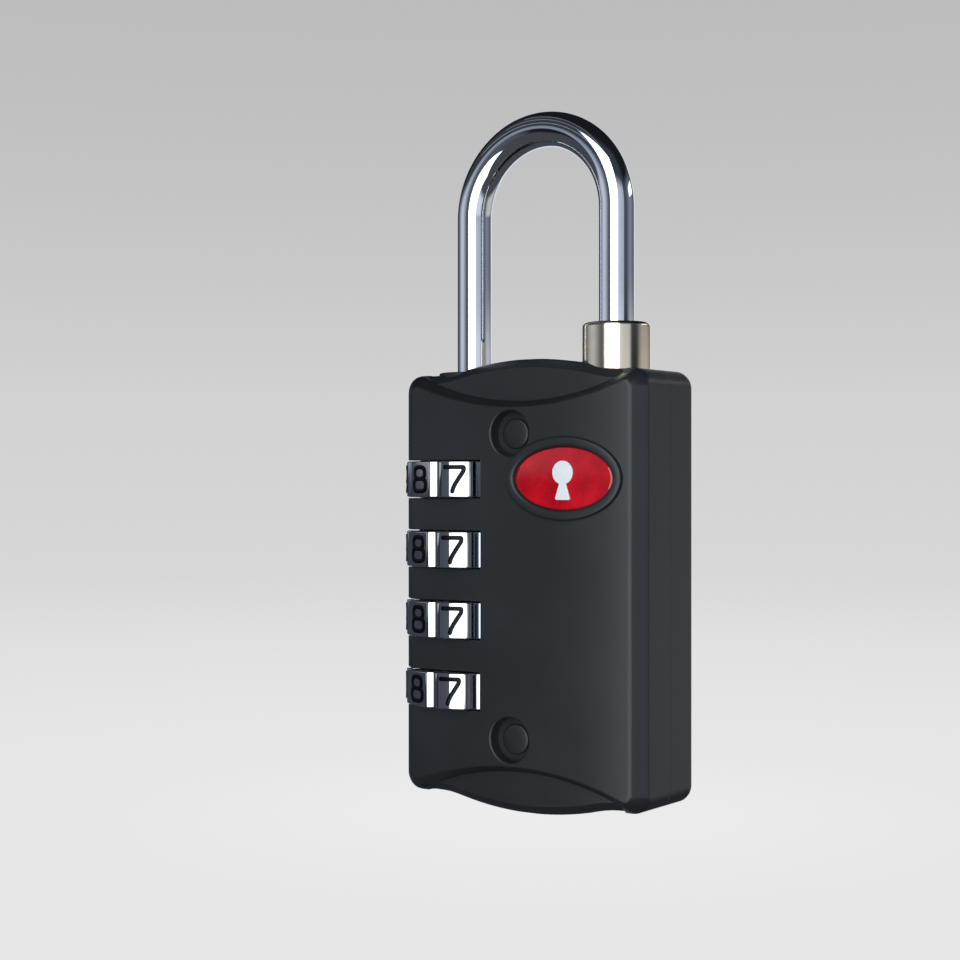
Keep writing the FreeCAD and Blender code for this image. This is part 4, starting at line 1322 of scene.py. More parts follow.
@dataclass
class Shackle(Assembly):
    """The bent wire, its guide bush and the collar that takes its toe."""

    around: int = 72
    bow_steps: int = 72
    end_bevel: float = 0.22 * MM
    fin_reach: float = 2.50 * MM
    fin_half: float = 0.50 * MM
    fin_height: float = 1.30 * MM
    fin_top: float = 0.25 * MM
    fin_edge: float = 0.12 * MM
    toe_gap: float = 0.40 * MM
    bush_neck: float = 2.50 * MM
    bush_flange: float = 0.90 * MM
    bush_foot: float = 0.60 * MM
    bush_step: float = 0.30 * MM
    bush_lip: float = 0.14 * MM
    collar_flange: float = 1.00 * MM
    collar_rim: float = 0.40 * MM
    collar_floor: float = 1.40 * MM
    collar_step: float = 0.53 * MM
    collar_lip: float = 0.15 * MM
    bore_gap: float = 0.10 * MM

    def build(self) -> None:
        """Make the shackle, the bush and the collar."""
        self.piece("shackle_wire", self.wire(), self.finishes.shackle, "shackle", "shackle")
        self.piece("guide_bush", self.bush(), self.finishes.nylon, "casing", "leg_guide_bush")
        self.piece("toe_cup", self.collar(), self.finishes.nickel, "casing", "toe_collar")
        self.dress("shackle_spring", self.finishes.spring)

    def wire_radius(self) -> float:
        """Half the wire's thickness."""
        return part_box("shackle")[1].y

    def wire(self) -> Form:
        """The wire swept round its bow, with the fins on its long leg.

        Returns:
            The solid.
        """
        low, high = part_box("shackle")
        radius = self.wire_radius()
        half_gap = (self.layout.toe_x - self.layout.leg_x) / 2
        middle = (self.layout.toe_x + self.layout.leg_x) / 2
        bow_z = high.z - radius - half_gap
        toe_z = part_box("toe_collar")[0].z + self.collar_floor + self.toe_gap
        leg_x, toe_x = self.layout.leg_x, self.layout.toe_x
        stations: list[tuple[Vector, float, float]] = []
        for cut, along in reversed(edge_steps(self.end_bevel, 4)):
            stations.append((Vector((leg_x, 0, low.z + along)), math.pi, cut))
        stations.append((Vector((leg_x, 0, (low.z + bow_z) / 2)), math.pi, 0.0))
        for n in range(self.bow_steps + 1):
            turn = math.pi * (1 - n / self.bow_steps)
            centre = Vector((middle + half_gap * math.cos(turn), 0, bow_z + half_gap * math.sin(turn)))
            stations.append((centre, turn, 0.0))
        stations.append((Vector((toe_x, 0, (toe_z + bow_z) / 2)), 0.0, 0.0))
        for cut, along in edge_steps(self.end_bevel, 4):
            stations.append((Vector((toe_x, 0, toe_z + along)), 0.0, cut))
        across = Vector((0, 1, 0))
        rings = []
        for centre, turn, cut in stations:
            out = Vector((math.cos(turn), 0, math.sin(turn)))
            rings.append([centre + (out * math.cos(a) + across * math.sin(a)) * (radius - cut)
                          for a in (2 * math.pi * n / self.around for n in range(self.around))])
        form = Form.loft(rings)
        for dial in self.layout.dial_centres:
            top = dial.z + self.fin_top
            form.join(Form.block(Vector((leg_x + radius / 2, -self.fin_half, top - self.fin_height)),
                                 Vector((leg_x + self.fin_reach, self.fin_half, top)), self.fin_edge))
        return form

    def bush(self) -> Form:
        """The flanged guide bush, with a rounded lip.

        Returns:
            The solid.
        """
        low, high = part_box("leg_guide_bush")
        flange, bore = (high.x - low.x) / 2, self.wire_radius() + self.bore_gap
        foot = flange - self.bush_step
        foot_top, neck_top = low.z + self.bush_foot, high.z - self.bush_flange
        profile = [(bore, low.z), (foot, low.z), (foot, foot_top), (self.bush_neck, foot_top),
                   (self.bush_neck, neck_top), (flange, neck_top)]
        steps = edge_steps(self.bush_lip)
        profile += [(flange - cut, high.z - along) for cut, along in steps]
        profile += [(bore + cut, high.z - along) for cut, along in reversed(steps)]
        return Form.turned(profile, Vector((self.layout.leg_x, 0, 0)))

    def collar(self) -> Form:
        """The toe's cup: a flange in the casing, and a sleeve with a rounded rim.

        Returns:
            The solid.
        """
        low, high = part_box("toe_collar")
        flange, bore = (high.x - low.x) / 2, self.wire_radius() + self.bore_gap
        sleeve = flange - self.collar_step
        profile = [(0.0, low.z), (flange, low.z), (flange, low.z + self.collar_flange),
                   (sleeve, low.z + self.collar_flange)]
        profile += [(sleeve - cut, high.z - along) for cut, along in edge_steps(self.collar_rim, 6)]
        profile += [(bore + cut, high.z - along)
                    for cut, along in reversed(edge_steps(self.collar_lip))]
        profile += [(bore, low.z + self.collar_floor), (0.0, low.z + self.collar_floor)]
        return Form.turned(profile, Vector((self.layout.toe_x, 0, 0)), steps=128)


# ---------------------------------------------------------------- dials

@dataclass(frozen=True)
class Stroke:
    """One stroke of a figure, on a grid from -1 to 1 each way."""

    points: tuple[Point, ...]
    closed: bool = False
    reach: float = 0.5


FIGURES: dict[int, tuple[Stroke, ...]] = {
    0: (Stroke(((-1, -1), (1, -1), (1, 1), (-1, 1)), True, 0.7),),
    1: (Stroke(((-0.45, 0.62), (0.12, 1.0), (0.12, -1.0)), False, 0.06),),
    2: (Stroke(((-1, 0.45), (-1, 1), (1, 1), (1, 0.1), (-1, -0.55), (-1, -1)), False, 0.55),
        Stroke(((-1, -1), (1, -1)))),
    3: (Stroke(((-1, 0.5), (-1, 1), (0.9, 1), (0.9, 0.06), (-0.25, 0.06)), False, 0.5),
        Stroke(((-0.25, 0.06), (1, 0.06), (1, -1), (-1, -1), (-1, -0.5)), False, 0.55)),
    4: (Stroke(((0.4, -1), (0.4, 1), (-1, -0.42), (1, -0.42)), False, 0.1),),
    5: (Stroke(((0.9, 1), (-0.85, 1), (-0.9, 0.15), (1, 0.25), (1, -1), (-1, -1), (-1, -0.6)),
               False, 0.5),),
    6: (Stroke(((-1, -1), (1, -1), (1, 0.18), (-1, 0.18)), True, 0.6),
        Stroke(((-1, -0.4), (-1, 1), (0.85, 1)), False, 0.9)),
    7: (Stroke(((-1, 1), (1, 1), (0.97, 0.70), (0.52, 0.14), (0.14, -0.34), (-0.1, -0.7), (-0.2, -1)),
               False, 0.14),),
    8: (Stroke(((-0.85, 0.03), (0.85, 0.03), (0.85, 1), (-0.85, 1)), True, 0.7),
        Stroke(((-1, -1), (1, -1), (1, 0.03), (-1, 0.03)), True, 0.7)),
    9: (Stroke(((1, 1), (-1, 1), (-1, -0.18), (1, -0.18)), True, 0.6),
        Stroke(((1, 0.4), (1, -1), (-0.85, -1)), False, 0.9)),
}


@dataclass
class Dials(Assembly):
    """Four number rings with raised figures, each on its hub."""

    radius: float = 6.35 * MM
    groove: float = 0.38 * MM
    groove_shares: tuple[float, float] = (0.18, 0.82)
    groove_floor: float = 0.94
    facets: int = 10
    facet_angle: float = 27.0
    facet_steps: int = 14
    crease: float = 0.9
    crease_drop: float = 0.028 * MM
    rests: tuple[float, ...] = (0.0, -2.0, -2.0, -4.0)
    edge: float = 0.13 * MM
    bore: float = 3.60 * MM
    notch: float = 0.30 * MM
    notch_angle: float = 9.5
    shoulder: float = 0.07 * MM
    shoulder_shares: tuple[float, float] = (0.45, 0.50)
    figure_wide: float = 0.90 * MM
    figure_tall: float = 1.10 * MM
    stroke_half: float = 0.21 * MM
    stroke_rise: float = 0.085 * MM
    stroke_root: float = 0.06 * MM
    stroke_steps: int = 9
    stroke_fullness: float = 0.4
    cap_angles: tuple[float, ...] = (25.0, 50.0, 70.0, 84.0)
    first_figure: int = 7
    first_angle: float = 18.0

    def build(self) -> None:
        """Make the rings and figures, and dress the hubs and the leaf spring."""
        for place, (centre, body) in enumerate(zip(self.layout.dial_centres, self.layout.dial_bodies)):
            number = place + 1
            self.piece(f"number_ring_{number}", self.ring(centre, self.rests[place]),
                       self.finishes.dials, body, f"dial_ring_{number}")
            self.piece(f"ring_figures_{number}", self.figures(centre, self.rests[place]),
                       self.finishes.figures, body)
            self.dress(f"dial_hub_{number}", self.finishes.brass)
        self.dress("dial_detent_spring", self.finishes.spring)

    @staticmethod
    def around(centre: Vector, degrees: float, radius: float) -> Point:
        """A point on a ring, at an angle counted from the front towards the toe side."""
        turn = math.radians(degrees)
        return centre.x + radius * math.sin(turn), centre.y - radius * math.cos(turn)

    def plan(self, centre: Vector, rest: float) -> tuple[list[Point], list[Point]]:
        """The outline and the bore of a ring, with a point of one for each of the other.

        Args:
            centre: The ring's middle.
            rest: How far it is turned at rest, in degrees.

        Returns:
            The outer outline and the inner one.
        """
        outer: list[Point] = []
        inner: list[Point] = []
        pitch = 360.0 / self.facets
        half = self.facet_angle / 2
        gap = pitch / 2 - half
        step = 2 * (half - self.crease) / self.facet_steps
        for n in range(self.facets):
            middle = self.first_angle + rest + n * pitch
            end = middle + half
            spots = [(middle - half + self.crease / 3, self.radius - self.crease_drop)]
            spots += [(middle - half + self.crease + step * k, self.radius)
                      for k in range(self.facet_steps + 1)]
            spots += [(end - self.crease / 3, self.radius - self.crease_drop)]
            spots += [(end + gap * share, self.radius - self.groove * share)
                      for share in self.groove_shares]
            spots += [(end + gap, self.radius - self.groove * self.groove_floor)]
            spots += [(end + gap * (2 - share), self.radius - self.groove * share)
                      for share in reversed(self.groove_shares)]
            for angle, radius in spots:
                outer.append(self.around(centre, angle, radius))
                nearest = abs((angle - rest + pitch / 2) % pitch - pitch / 2)
                depth = self.notch if nearest < self.notch_angle else 0.0
                inner.append(self.around(centre, angle, self.bore + depth))
        return outer, inner

    def ring(self, centre: Vector, rest: float) -> Form:
        """A number ring with rounded edges and a splined bore.

        Args:
            centre: The ring's middle.
            rest: How far it is turned at rest, in degrees.

        Returns:
            The solid.
        """
        outer, inner = self.plan(centre, rest)
        half = self.layout.dial_half
        steps = edge_steps(self.edge)
        rings = [flat_ring(inset(outer, cut), centre.z - half + along)
                 for cut, along in reversed(steps)]
        rings += [flat_ring(inset(outer, cut), centre.z + half - along) for cut, along in steps]
        seat, step = ([self.blend(a, b, share) for a, b in zip(outer, inner)]
                      for share in self.shoulder_shares)
        tall = half + self.shoulder
        rings += [flat_ring(seat, centre.z + half), flat_ring(step, centre.z + tall)]
        rings += [flat_ring(inner, centre.z + tall), flat_ring(inner, centre.z - tall)]
        rings += [flat_ring(step, centre.z - tall), flat_ring(seat, centre.z - half)]
        return Form.loft(rings, capped=False)

    @staticmethod
    def blend(first: Point, second: Point, share: float) -> Point:
        """A point on the way from one to another."""
        return tuple(a + (b - a) * share for a, b in zip(first, second))

    def figures(self, centre: Vector, rest: float) -> Form:
        """All ten figures of a ring, as one set of raised strokes.

        Args:
            centre: The ring's middle.
            rest: How far the ring is turned at rest, in degrees.

        Returns:
            The strokes, side by side.
        """
        form = Form()
        for n in range(self.facets):
            figure = (self.first_figure - n) % self.facets
            middle = self.first_angle + rest + n * 360.0 / self.facets
            for stroke in FIGURES[figure]:
                form.join(self.stroke(stroke, centre, middle))
        return form

    def stroke(self, stroke: Stroke, centre: Vector, middle: float) -> Form:
        """One raised stroke, wrapped on the ring.

        Args:
            stroke: Its line on the figure's grid.
            centre: The ring's middle.
            middle: The angle of the facet that it stands on, in degrees.

        Returns:
            A rounded bar with rounded ends.
        """
        sized = [(x * self.figure_wide, z * self.figure_tall) for x, z in stroke.points]
        reach = stroke.reach * self.figure_wide
        line = [Vector(p) for p in rounded(sized, reach, stroke.closed, 8)]
        if stroke.closed:
            spots = [(p, (line[(n + 1) % len(line)] - line[n - 1]).normalized(), 1.0)
                     for n, p in enumerate(line)]
        else:
            spots = self.ended(line)
        rings = []
        for spot, along, share in spots:
            side = Vector((-along.y, along.x))
            ring = []
            for k in range(self.stroke_steps + 1):
                a = math.pi * k / self.stroke_steps
                lift = self.stroke_rise * math.sin(a) ** self.stroke_fullness * share
                ring.append(self.wrapped(spot + side * math.cos(a) * self.stroke_half * share,
                                         lift, centre, middle))
            ring += [self.wrapped(spot + side * sign * self.stroke_half * share,
                                  -self.stroke_root, centre, middle) for sign in (-1, 1)]
            rings.append(ring)
        return Form.loft(rings, capped=not stroke.closed)

    def ended(self, line: list[Vector]) -> list[tuple[Vector, Vector, float]]:
        """Add round ends to an open line.

        Args:
            line: The line's points.

        Returns:
            Each spot with its direction and its share of the stroke's width.
        """
        count = len(line)
        spots = [(p, (line[min(n + 1, count - 1)] - line[max(n - 1, 0)]).normalized(), 1.0)
                 for n, p in enumerate(line)]
        first, last = spots[0], spots[-1]
        caps = [math.radians(a) for a in self.cap_angles]
        before = [(first[0] - first[1] * self.stroke_half * math.sin(a), first[1], math.cos(a))
                  for a in reversed(caps)]
        after = [(last[0] + last[1] * self.stroke_half * math.sin(a), last[1], math.cos(a))
                 for a in caps]
        return before + spots + after

    def wrapped(self, spot: Vector, lift: float, centre: Vector, middle: float) -> Vector:
        """Wrap a point of a facet's flat pattern on its ring.

        Args:
            spot: The point, across and up from the facet's middle.
            lift: How far it stands off the ring.
            centre: The ring's middle.
            middle: The angle of the facet, in degrees.

        Returns:
            The point in space.
        """
        angle = middle + math.degrees(spot.x / self.radius)
        x, y = self.around(centre, angle, self.radius + lift)
        return Vector((x, y, centre.z + spot.y))


# ---------------------------------------------------------------- key lock

@dataclass
class KeyLock(Assembly):
    """The inspection lock in the foot of the casing, and the slide that it moves."""

    edge: float = 0.15 * MM
    keyway_half: float = 0.45 * MM
    keyway_reach: float = 1.50 * MM
    keyway_depth: float = 12.0 * MM
    flange: float = 0.30 * MM
    flange_height: float = 1.00 * MM
    running_gap: float = 0.10 * MM
    wafer_drop: float = 1.50 * MM
    wafer_rise: float = 0.50 * MM
    wafer_count: int = 5
    wafer_pitch: float = 2.00 * MM
    wafer_thickness: float = 0.50 * MM
    wafer_gap: float = 0.05 * MM
    neck: float = 1.70 * MM
    tail_half: float = 0.80 * MM
    tail_height: float = 0.50 * MM
    tail_edge: float = 0.08 * MM
    flare: float = 0.35 * MM

    def build(self) -> None:
        """Make the shell and the plug, and dress what is behind them."""
        self.piece("lock_shell", self.shell(), self.finishes.steel, "casing", "key_cylinder_shell")
        self.piece("lock_plug", self.plug(), self.finishes.brass, "key_plug", "key_plug")
        self.dress("key_wafers", self.finishes.brass)
        self.dress("plug_retainer_clip", self.finishes.spring)
        self.dress("release_cam", self.finishes.steel)
        self.dress("hub_retainer_slide", self.finishes.steel)

    def shell(self) -> Form:
        """The fixed barrel, its foot rounded inside and out.

        Returns:
            The solid.
        """
        low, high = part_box("key_cylinder_shell")
        plug_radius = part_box("key_plug")[1].y
        flange = (high.y - low.y) / 2
        outer = flange - self.flange
        bore = plug_radius + self.running_gap
        steps = edge_steps(self.edge)
        profile = [(bore + cut, low.z + along) for cut, along in steps]
        foot = CasingSizes.foot_radius - self.edge / 3
        step = low.z + CasingSizes.foot_height + self.edge / 3
        profile += [(foot - cut, low.z + along) for cut, along in reversed(steps)]
        profile += [(foot, step), (outer, step)]
        profile += [(outer, high.z - self.flange_height), (flange, high.z - self.flange_height),
                    (flange, high.z), (bore, high.z)]
        form = Form.turned(profile, Vector((self.layout.toe_x, 0, 0)))
        wafers_low, wafers_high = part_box("key_wafers")
        reach = outer - self.flange
        return form.cut(Form.block(
            Vector((wafers_low.x - self.running_gap, -reach, wafers_low.z - self.wafer_drop)),
            Vector((wafers_high.x + self.running_gap, reach, wafers_high.z + self.wafer_rise))))

    def plug(self) -> Form:
        """The turning plug: a rounded face, the keyway, the wafer slots and a square tail.

        Returns:
            The solid.
        """
        low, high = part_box("key_plug")
        shell_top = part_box("key_cylinder_shell")[1].z
        radius = high.y
        neck_top = high.z - self.tail_height
        profile = [(0.0, low.z)]
        profile += [(radius - cut, low.z + along) for cut, along in reversed(edge_steps(self.edge))]
        profile += [(radius, shell_top), (self.neck, shell_top), (self.neck, neck_top), (0.0, neck_top)]
        x = self.layout.toe_x
        form = Form.turned(profile, Vector((x, 0, 0)))
        half, reach, gap = self.keyway_half, self.keyway_reach, self.wafer_gap
        tools = [Form.block(Vector((x - half, -reach, low.z - self.tail_height)),
                            Vector((x + half, reach, low.z + self.keyway_depth))),
                 self.keyway_flare(x, low.z)]
        wafers_low, wafers_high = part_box("key_wafers")
        for n in range(self.wafer_count):
            z = wafers_low.z + n * self.wafer_pitch
            tools.append(Form.block(
                Vector((wafers_low.x - gap, -radius - gap, z - gap)),
                Vector((wafers_high.x + gap, radius + gap, z + self.wafer_thickness + gap))))
        tail = Form.block(Vector((x - self.tail_half, -self.tail_half, neck_top - gap)),
                          Vector((x + self.tail_half, self.tail_half, high.z)), self.tail_edge)
        return form.cut(*tools).join(tail)

    def keyway_flare(self, x: float, face: float) -> Form:
        """The funnel at the mouth of the keyway.

        Args:
            x: Where the plug's axis is.
            face: The height of the plug's face.

        Returns:
            The solid to take away.
        """
        rings = []
        for spread, z in ((self.flare + 0.1 * MM, face - 0.1 * MM), (0.001 * MM, face + self.flare)):
            wide, long = self.keyway_half + spread, self.keyway_reach + spread
            rings.append(flat_ring([(x - wide, -long), (x + wide, -long),
                                    (x + wide, long), (x - wide, long)], z))
        return Form.loft(rings)


# ---------------------------------------------------------------- badge

@dataclass
class Badge(Assembly):
    """A plain oval badge: a raised bezel, an enamelled insert and a keyhole sign."""

    around: int = 128
    root: float = 0.05 * MM
    bezel_edge: float = 0.22 * MM
    bezel_slope: tuple[Point, ...] = ((0.30 * MM, 0.0), (0.14 * MM, 0.05 * MM), (0.02 * MM, 0.20 * MM))
    sign_edge: float = 0.065 * MM
    dome: float = 0.12 * MM
    mark_radius: float = 1.05 * MM
    neck_half: float = 0.35 * MM
    foot_half: float = 0.80 * MM
    foot_bend: float = 0.30 * MM

    def build(self) -> None:
        """Make the three pieces."""
        self.piece("badge_bezel", self.bezel(), self.finishes.enamel, "casing", "emblem_bezel")
        self.piece("badge_plate", self.plate(), self.finishes.red, "casing", "emblem_insert")
        self.piece("badge_sign", self.sign(), self.finishes.white, "casing", "emblem_keyhole_mark")

    def oval(self, middle: Vector, wide: float, tall: float) -> list[Point]:
        """An oval's points about a middle."""
        return [(middle.x + wide * x, middle.z + tall * z)
                for x, z in arc((0, 0), 1, 0, 360, self.around)[:-1]]

    def bezel(self) -> Form:
        """The bezel's ring, rounded outside and sloped inside.

        Returns:
            The solid.
        """
        low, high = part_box("emblem_bezel")
        inner_low, inner_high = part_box("emblem_insert")
        middle = (low + high) / 2
        outer = self.oval(middle, (high.x - low.x) / 2, (high.z - low.z) / 2)
        band = (high.x - low.x - inner_high.x + inner_low.x) / 2
        root = high.y + self.root
        path = [(0.0, root), (0.0, high.y - 2 * self.root)]
        path += [(cut, low.y + along) for cut, along in edge_steps(self.bezel_edge, 4)]
        path += [(band - inward, low.y + down) for inward, down in self.bezel_slope]
        path += [(band - 0.01 * MM, root)]
        return Form.loft([face_ring(inset(outer, cut), y) for cut, y in path], capped=False)

    def plate(self) -> Form:
        """The insert, slightly domed like poured enamel.

        Returns:
            The solid.
        """
        low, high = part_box("emblem_insert")
        middle = (low + high) / 2
        wide, tall = (high.x - low.x) / 2, (high.z - low.z) / 2
        path = [(1.0, high.y), (1.0, low.y + self.dome * 1.5), (0.985, low.y + self.dome)]
        path += [(share, low.y + self.dome * share**2) for share in (0.92 - 0.15 * n for n in range(6))]
        rings = [face_ring(self.oval(middle, wide * share, tall * share), y) for share, y in path]
        return Form.loft(rings)

    def sign(self) -> Form:
        """The keyhole sign, raised with a rounded edge.

        Returns:
            The solid.
        """
        low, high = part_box("emblem_keyhole_mark")
        x = (low.x + high.x) / 2
        eye = high.z - self.mark_radius
        side = math.degrees(math.asin(self.neck_half / self.mark_radius))
        round_part = arc((x, eye), self.mark_radius, -90 + side, 270 - side, 40)
        left = x - self.foot_half
        foot = bend((left + self.root, low.z + self.foot_bend), (left, low.z),
                    (left + self.foot_bend, low.z), 5)
        other = [(2 * x - a, b) for a, b in reversed(foot)]
        outline = round_part + foot + other
        path = [(0.0, high.y + 4 * self.root)]
        path += [(cut, low.y + along) for cut, along in edge_steps(self.sign_edge)]
        return Form.loft([face_ring(inset(outline, cut), y) for cut, y in path])


# ---------------------------------------------------------------- studio

@dataclass(frozen=True)
class Panel:
    """A soft light that stands round the lock."""

    name: str
    azimuth: float
    elevation: float
    width: float
    height: float
    glow: float
    colour: Colour = (1.0, 1.0, 1.0)
    distance: float = 0.60


@dataclass(frozen=True)
class Studio:
    """The floor and its sweep, the soft lights and the camera."""

    azimuth: float = 34.8
    distance: float = 167.3 * MM
    aside: float = -6.07 * MM
    above: float = 9.53 * MM
    lens: float = 68.8
    floor_radius: float = 0.42
    sweep: float = 0.16
    wall: float = 0.55
    panels: tuple[Panel, ...] = (
        Panel("key_panel", 14.8, 7.5, 0.53, 1.10, 2.5, (0.87, 0.95, 1.0)),
        Panel("rear_window", 139.0, 22.0, 0.34, 0.08, 2.2),
        Panel("rear_panel", -158.0, 4.0, 0.60, 0.50, 0.8, (0.90, 0.94, 1.0)),
        Panel("slat_1", -32.0, 34.0, 0.70, 0.022, 0.45, (0.88, 0.93, 1.0)),
        Panel("slat_2", -32.0, 52.0, 0.70, 0.026, 0.25, (0.88, 0.93, 1.0)),
        Panel("slat_3", -32.0, 68.0, 0.70, 0.020, 0.35, (0.88, 0.93, 1.0)),
    )
    level_glow: Stops = (
        (-180, (0.045, 0.050, 0.060)), (-104, (0.049, 0.056, 0.074)), (-88, (0.143, 0.160, 0.196)),
        (-75, (0.39, 0.425, 0.50)), (-63, (0.564, 0.614, 0.74)), (-54, (0.60, 0.645, 0.758)),
        (-45, (0.488, 0.542, 0.63)), (-36, (0.32, 0.357, 0.42)), (-28, (0.163, 0.196, 0.232)),
        (-20, (0.072, 0.090, 0.111)), (-10, (0.080, 0.098, 0.120)), (38, (0.62, 0.66, 0.76)),
        (50, (0.53, 0.585, 0.676)), (71, (0.432, 0.488, 0.57)), (77, (0.40, 0.45, 0.53)),
        (81, (0.058, 0.074, 0.10)), (102, (0.081, 0.100, 0.131)), (111, (0.163, 0.192, 0.236)),
        (125, (0.228, 0.259, 0.305)), (141, (0.20, 0.21, 0.26)), (155, (0.135, 0.144, 0.167)),
        (172, (0.056, 0.058, 0.072)), (180, (0.045, 0.050, 0.060)),
    )
    low_glow: Stops = (
        (-180, (0.060, 0.064, 0.072)), (-100, (0.055, 0.060, 0.078)), (-52, (0.060, 0.068, 0.090)),
        (-45, (0.060, 0.068, 0.090)), (-42, (0.012, 0.013, 0.016)), (-32, (0.012, 0.013, 0.016)),
        (-28, (0.080, 0.090, 0.115)), (-10, (0.100, 0.110, 0.140)), (38, (0.80, 0.86, 0.98)),
        (50, (0.76, 0.82, 0.94)), (74, (0.70, 0.76, 0.86)), (80, (0.012, 0.013, 0.016)),
        (102, (0.012, 0.013, 0.016)), (112, (0.32, 0.32, 0.33)), (122, (0.58, 0.58, 0.59)),
        (150, (0.60, 0.60, 0.60)), (165, (0.38, 0.38, 0.39)), (176, (0.10, 0.10, 0.11)),
        (180, (0.060, 0.064, 0.072)),
    )
    high_glow: Colour = (0.042, 0.048, 0.062)
    dark_glow: Colour = (0.010, 0.011, 0.014)
    floor_glow: Colour = (0.065, 0.068, 0.078)
    left_band: Point = (0.03, 0.06)
    left_rise: Point = (-0.02, 0.06)
    right_rise: Point = (0.055, 0.115)
    left_fall: Point = (0.20, 0.32)
    right_fall: Point = (0.34, 0.56)
    rear_band: Point = (-0.2, 0.3)
    top_band: Point = (0.80, 0.96)
    floor_band: Point = (0.22, 0.42)
    # Painted light on the paper: how brightly it glows at each distance out from under the lock and up
    # the sweep.
    painted_light_tones: tuple[Point, ...] = ((0.0, 0.84), (0.04, 0.79), (0.29, 0.70), (0.45, 0.67),
                                      (0.664, 0.63), (0.788, 0.57), (0.91, 0.52), (1.02, 0.49))
    paper_way: float = 1.1
    paper_shade: Colour = (0.03, 0.03, 0.03)

    @staticmethod
    def direction(azimuth: float, elevation: float) -> Vector:
        """Which way a bearing points, counted from the front towards the toe side."""
        a, e = math.radians(azimuth), math.radians(elevation)
        return Vector((math.sin(a) * math.cos(e), -math.cos(a) * math.cos(e), math.sin(e)))

    def build(self, layout: Layout) -> None:
        """Set up everything round the lock.

        Args:
            layout: Where the lock is.
        """
        self.surround(layout)
        for panel in self.panels:
            self.light(panel, layout)
        self.world()
        self.camera(layout)

    def light(self, panel: Panel, layout: Layout) -> None:
        """Stand one panel and aim it at the lock.

        Args:
            panel: The light.
            layout: Where the lock is.
        """
        lamp = bpy.data.lights.new(panel.name, "AREA")
        lamp.shape = "RECTANGLE"
        lamp.size = panel.width
        lamp.size_y = panel.height
        lamp.energy = panel.glow * math.pi * panel.width * panel.height
        lamp.color = panel.colour
        thing = bpy.data.objects.new(panel.name, lamp)
        bpy.context.scene.collection.objects.link(thing)
        away = self.direction(panel.azimuth, panel.elevation)
        thing.location = layout.centre + away * panel.distance
        thing.rotation_euler = away.to_track_quat("Z", "Y").to_euler()
        thing.visible_camera = False

    def world(self) -> None:
        """The soft surround: what the metal mirrors, by bearing and by height."""
        graph = Graph(bpy.data.worlds.new("surround"))
        east, north, height = graph.parts("ShaderNodeTexCoord", "Generated")
        bearing = east.bearing(-north)
        level, low = (graph.ramp(bearing, [(a / 360 + 0.5, colour) for a, colour in stops])
                      for stops in (self.level_glow, self.low_glow))
        left = (0.5 - bearing).between(*self.left_band)
        rise, fall = (height.between(*here) * left + height.between(*there) * (1 - left)
                      for here, there in ((self.left_rise, self.right_rise),
                                          (self.left_fall, self.right_fall)))
        over = graph.mix(north.between(*self.rear_band) + height.between(*self.top_band),
                         self.high_glow, self.dark_glow)
        glow = graph.mix(fall, graph.mix(rise, low, level), over)
        deep = graph.mix((-height).between(*self.floor_band), glow, self.floor_glow)
        shader = graph.node("ShaderNodeBackground", None, {"Color": deep, "Strength": 1.0})
        bpy.context.scene.world = graph.close(shader, "ShaderNodeOutputWorld")

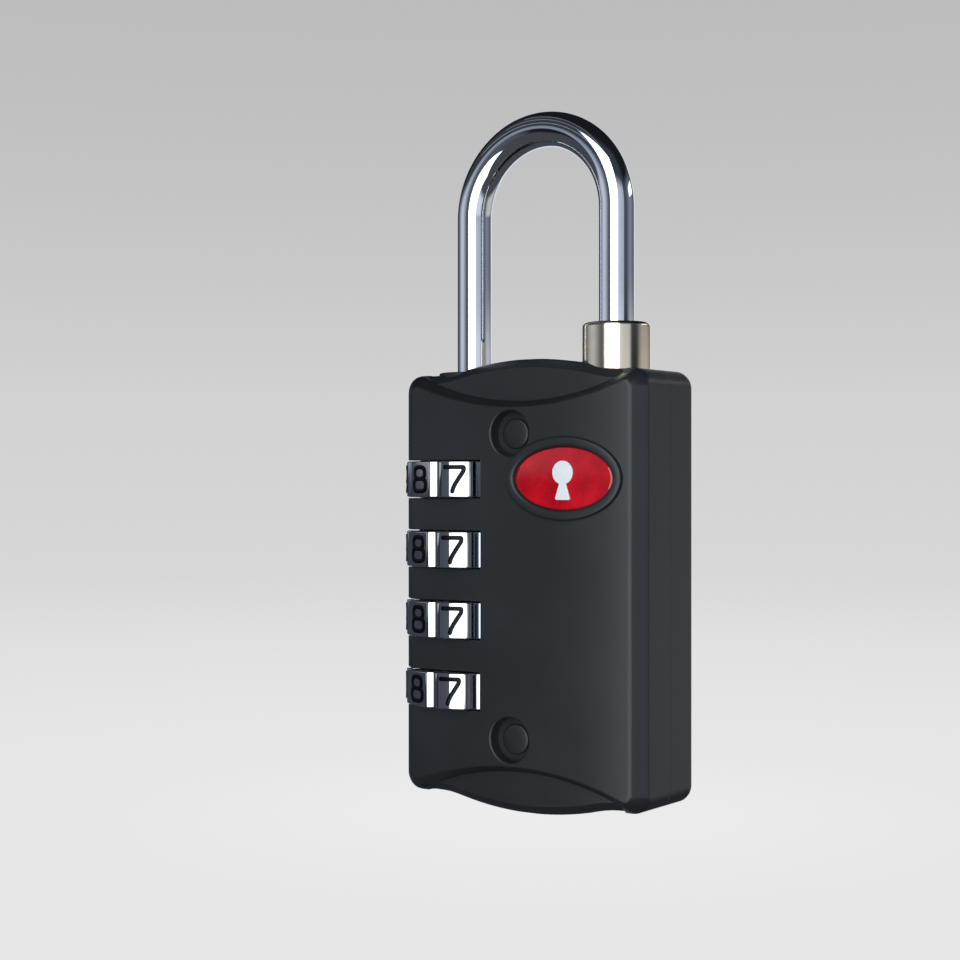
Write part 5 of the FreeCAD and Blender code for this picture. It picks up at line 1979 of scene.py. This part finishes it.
    def surround(self, layout: Layout) -> None:
        """A round floor that sweeps up into a wall and over, seen from inside only.

        Args:
            layout: Where the lock is.
        """
        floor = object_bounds()[0].z
        outer, top = self.floor_radius + self.sweep, floor + self.wall
        profile = [(0.0, floor), (self.floor_radius * 0.5, floor)]
        profile += [(self.floor_radius + x, z) for x, z in
                    arc((0.0, floor + self.sweep), self.sweep, -90, 0, 16)]
        profile += [(outer - self.sweep + x, z) for x, z in
                    arc((0.0, top), self.sweep, 0, 90, 12)]
        profile += [(0.0, top + self.sweep)]
        form = Form.turned(profile, Vector((layout.centre.x, 0, 0)))
        bmesh.ops.reverse_faces(form.mesh, faces=form.mesh.faces)
        for face in form.mesh.faces:
            face.smooth = True
        thing = form.holder("studio_sweep")
        thing.data.materials.append(self.paper(layout, floor))
        for ray in ("glossy", "shadow", "diffuse"):
            setattr(thing, f"visible_{ray}", False)
        thing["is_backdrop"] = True

    def paper(self, layout: Layout, floor: float) -> bpy.types.Material:
        """Pale studio paper that glows as painted light, brightest under the lock and dimmer outwards,
        and clear from outside.

        Args:
            layout: Where the lock is.
            floor: The floor's height.

        Returns:
            The material.
        """
        graph = Graph.of_material("studio_paper")
        x, y, z = graph.parts("ShaderNodeTexCoord", "Object")
        radius = ((x - layout.centre.x) ** 2 + y ** 2) ** 0.5
        way = (radius + (z - floor) * 2) / self.paper_way
        # The emission tone is painted light: a pool of light under the lock that dims outwards and up
        # the wall.
        tone = graph.ramp(way, [(spot / self.paper_way, (grey,) * 3)
                                for spot, grey in self.painted_light_tones])
        shaded = graph.node("ShaderNodeBsdfDiffuse", None, {"Color": self.paper_shade})
        glow = graph.node("ShaderNodeEmission", None, {"Color": tone, "Strength": 1.0})
        both = graph.node("ShaderNodeAddShader", None, {0: shaded.outputs[0], 1: glow.outputs[0]})
        outside = graph.node("ShaderNodeNewGeometry").outputs["Backfacing"]
        clear = graph.node("ShaderNodeBsdfTransparent")
        made = graph.node("ShaderNodeMixShader", None,
                          {0: outside, 1: both.outputs[0], 2: clear.outputs[0]})
        return graph.close(made, "ShaderNodeOutputMaterial")

    def camera(self, layout: Layout) -> None:
        """Stand the camera level, to the right of the front.

        Args:
            layout: Where the lock is.
        """
        data = bpy.data.cameras.new("camera")
        data.lens = self.lens
        data.sensor_width = 36.0
        data.clip_start = 0.01
        data.clip_end = 10.0
        thing = bpy.data.objects.new("camera", data)
        bpy.context.scene.collection.objects.link(thing)
        toward = self.direction(self.azimuth, 0.0)
        right = Vector((0, 0, 1)).cross(toward)
        thing.location = layout.centre + toward * self.distance + right * self.aside
        thing.location.z += self.above
        thing.rotation_euler = toward.to_track_quat("Z", "Y").to_euler()
        bpy.context.scene.camera = thing


def main() -> None:
    """Build the lock and its studio."""
    logging.basicConfig(level=logging.INFO, format="%(name)s: %(message)s")
    bpy.context.scene.view_settings.view_transform = "Standard"
    layout = Layout()
    finishes = Finishes()
    for group in (Casing, Rivets, Shackle, Dials, KeyLock, Badge):
        LOG.info("building %s", group.__name__)
        group(layout, finishes).build()
    Studio().build(layout)


if __name__ == "__main__":
    main()
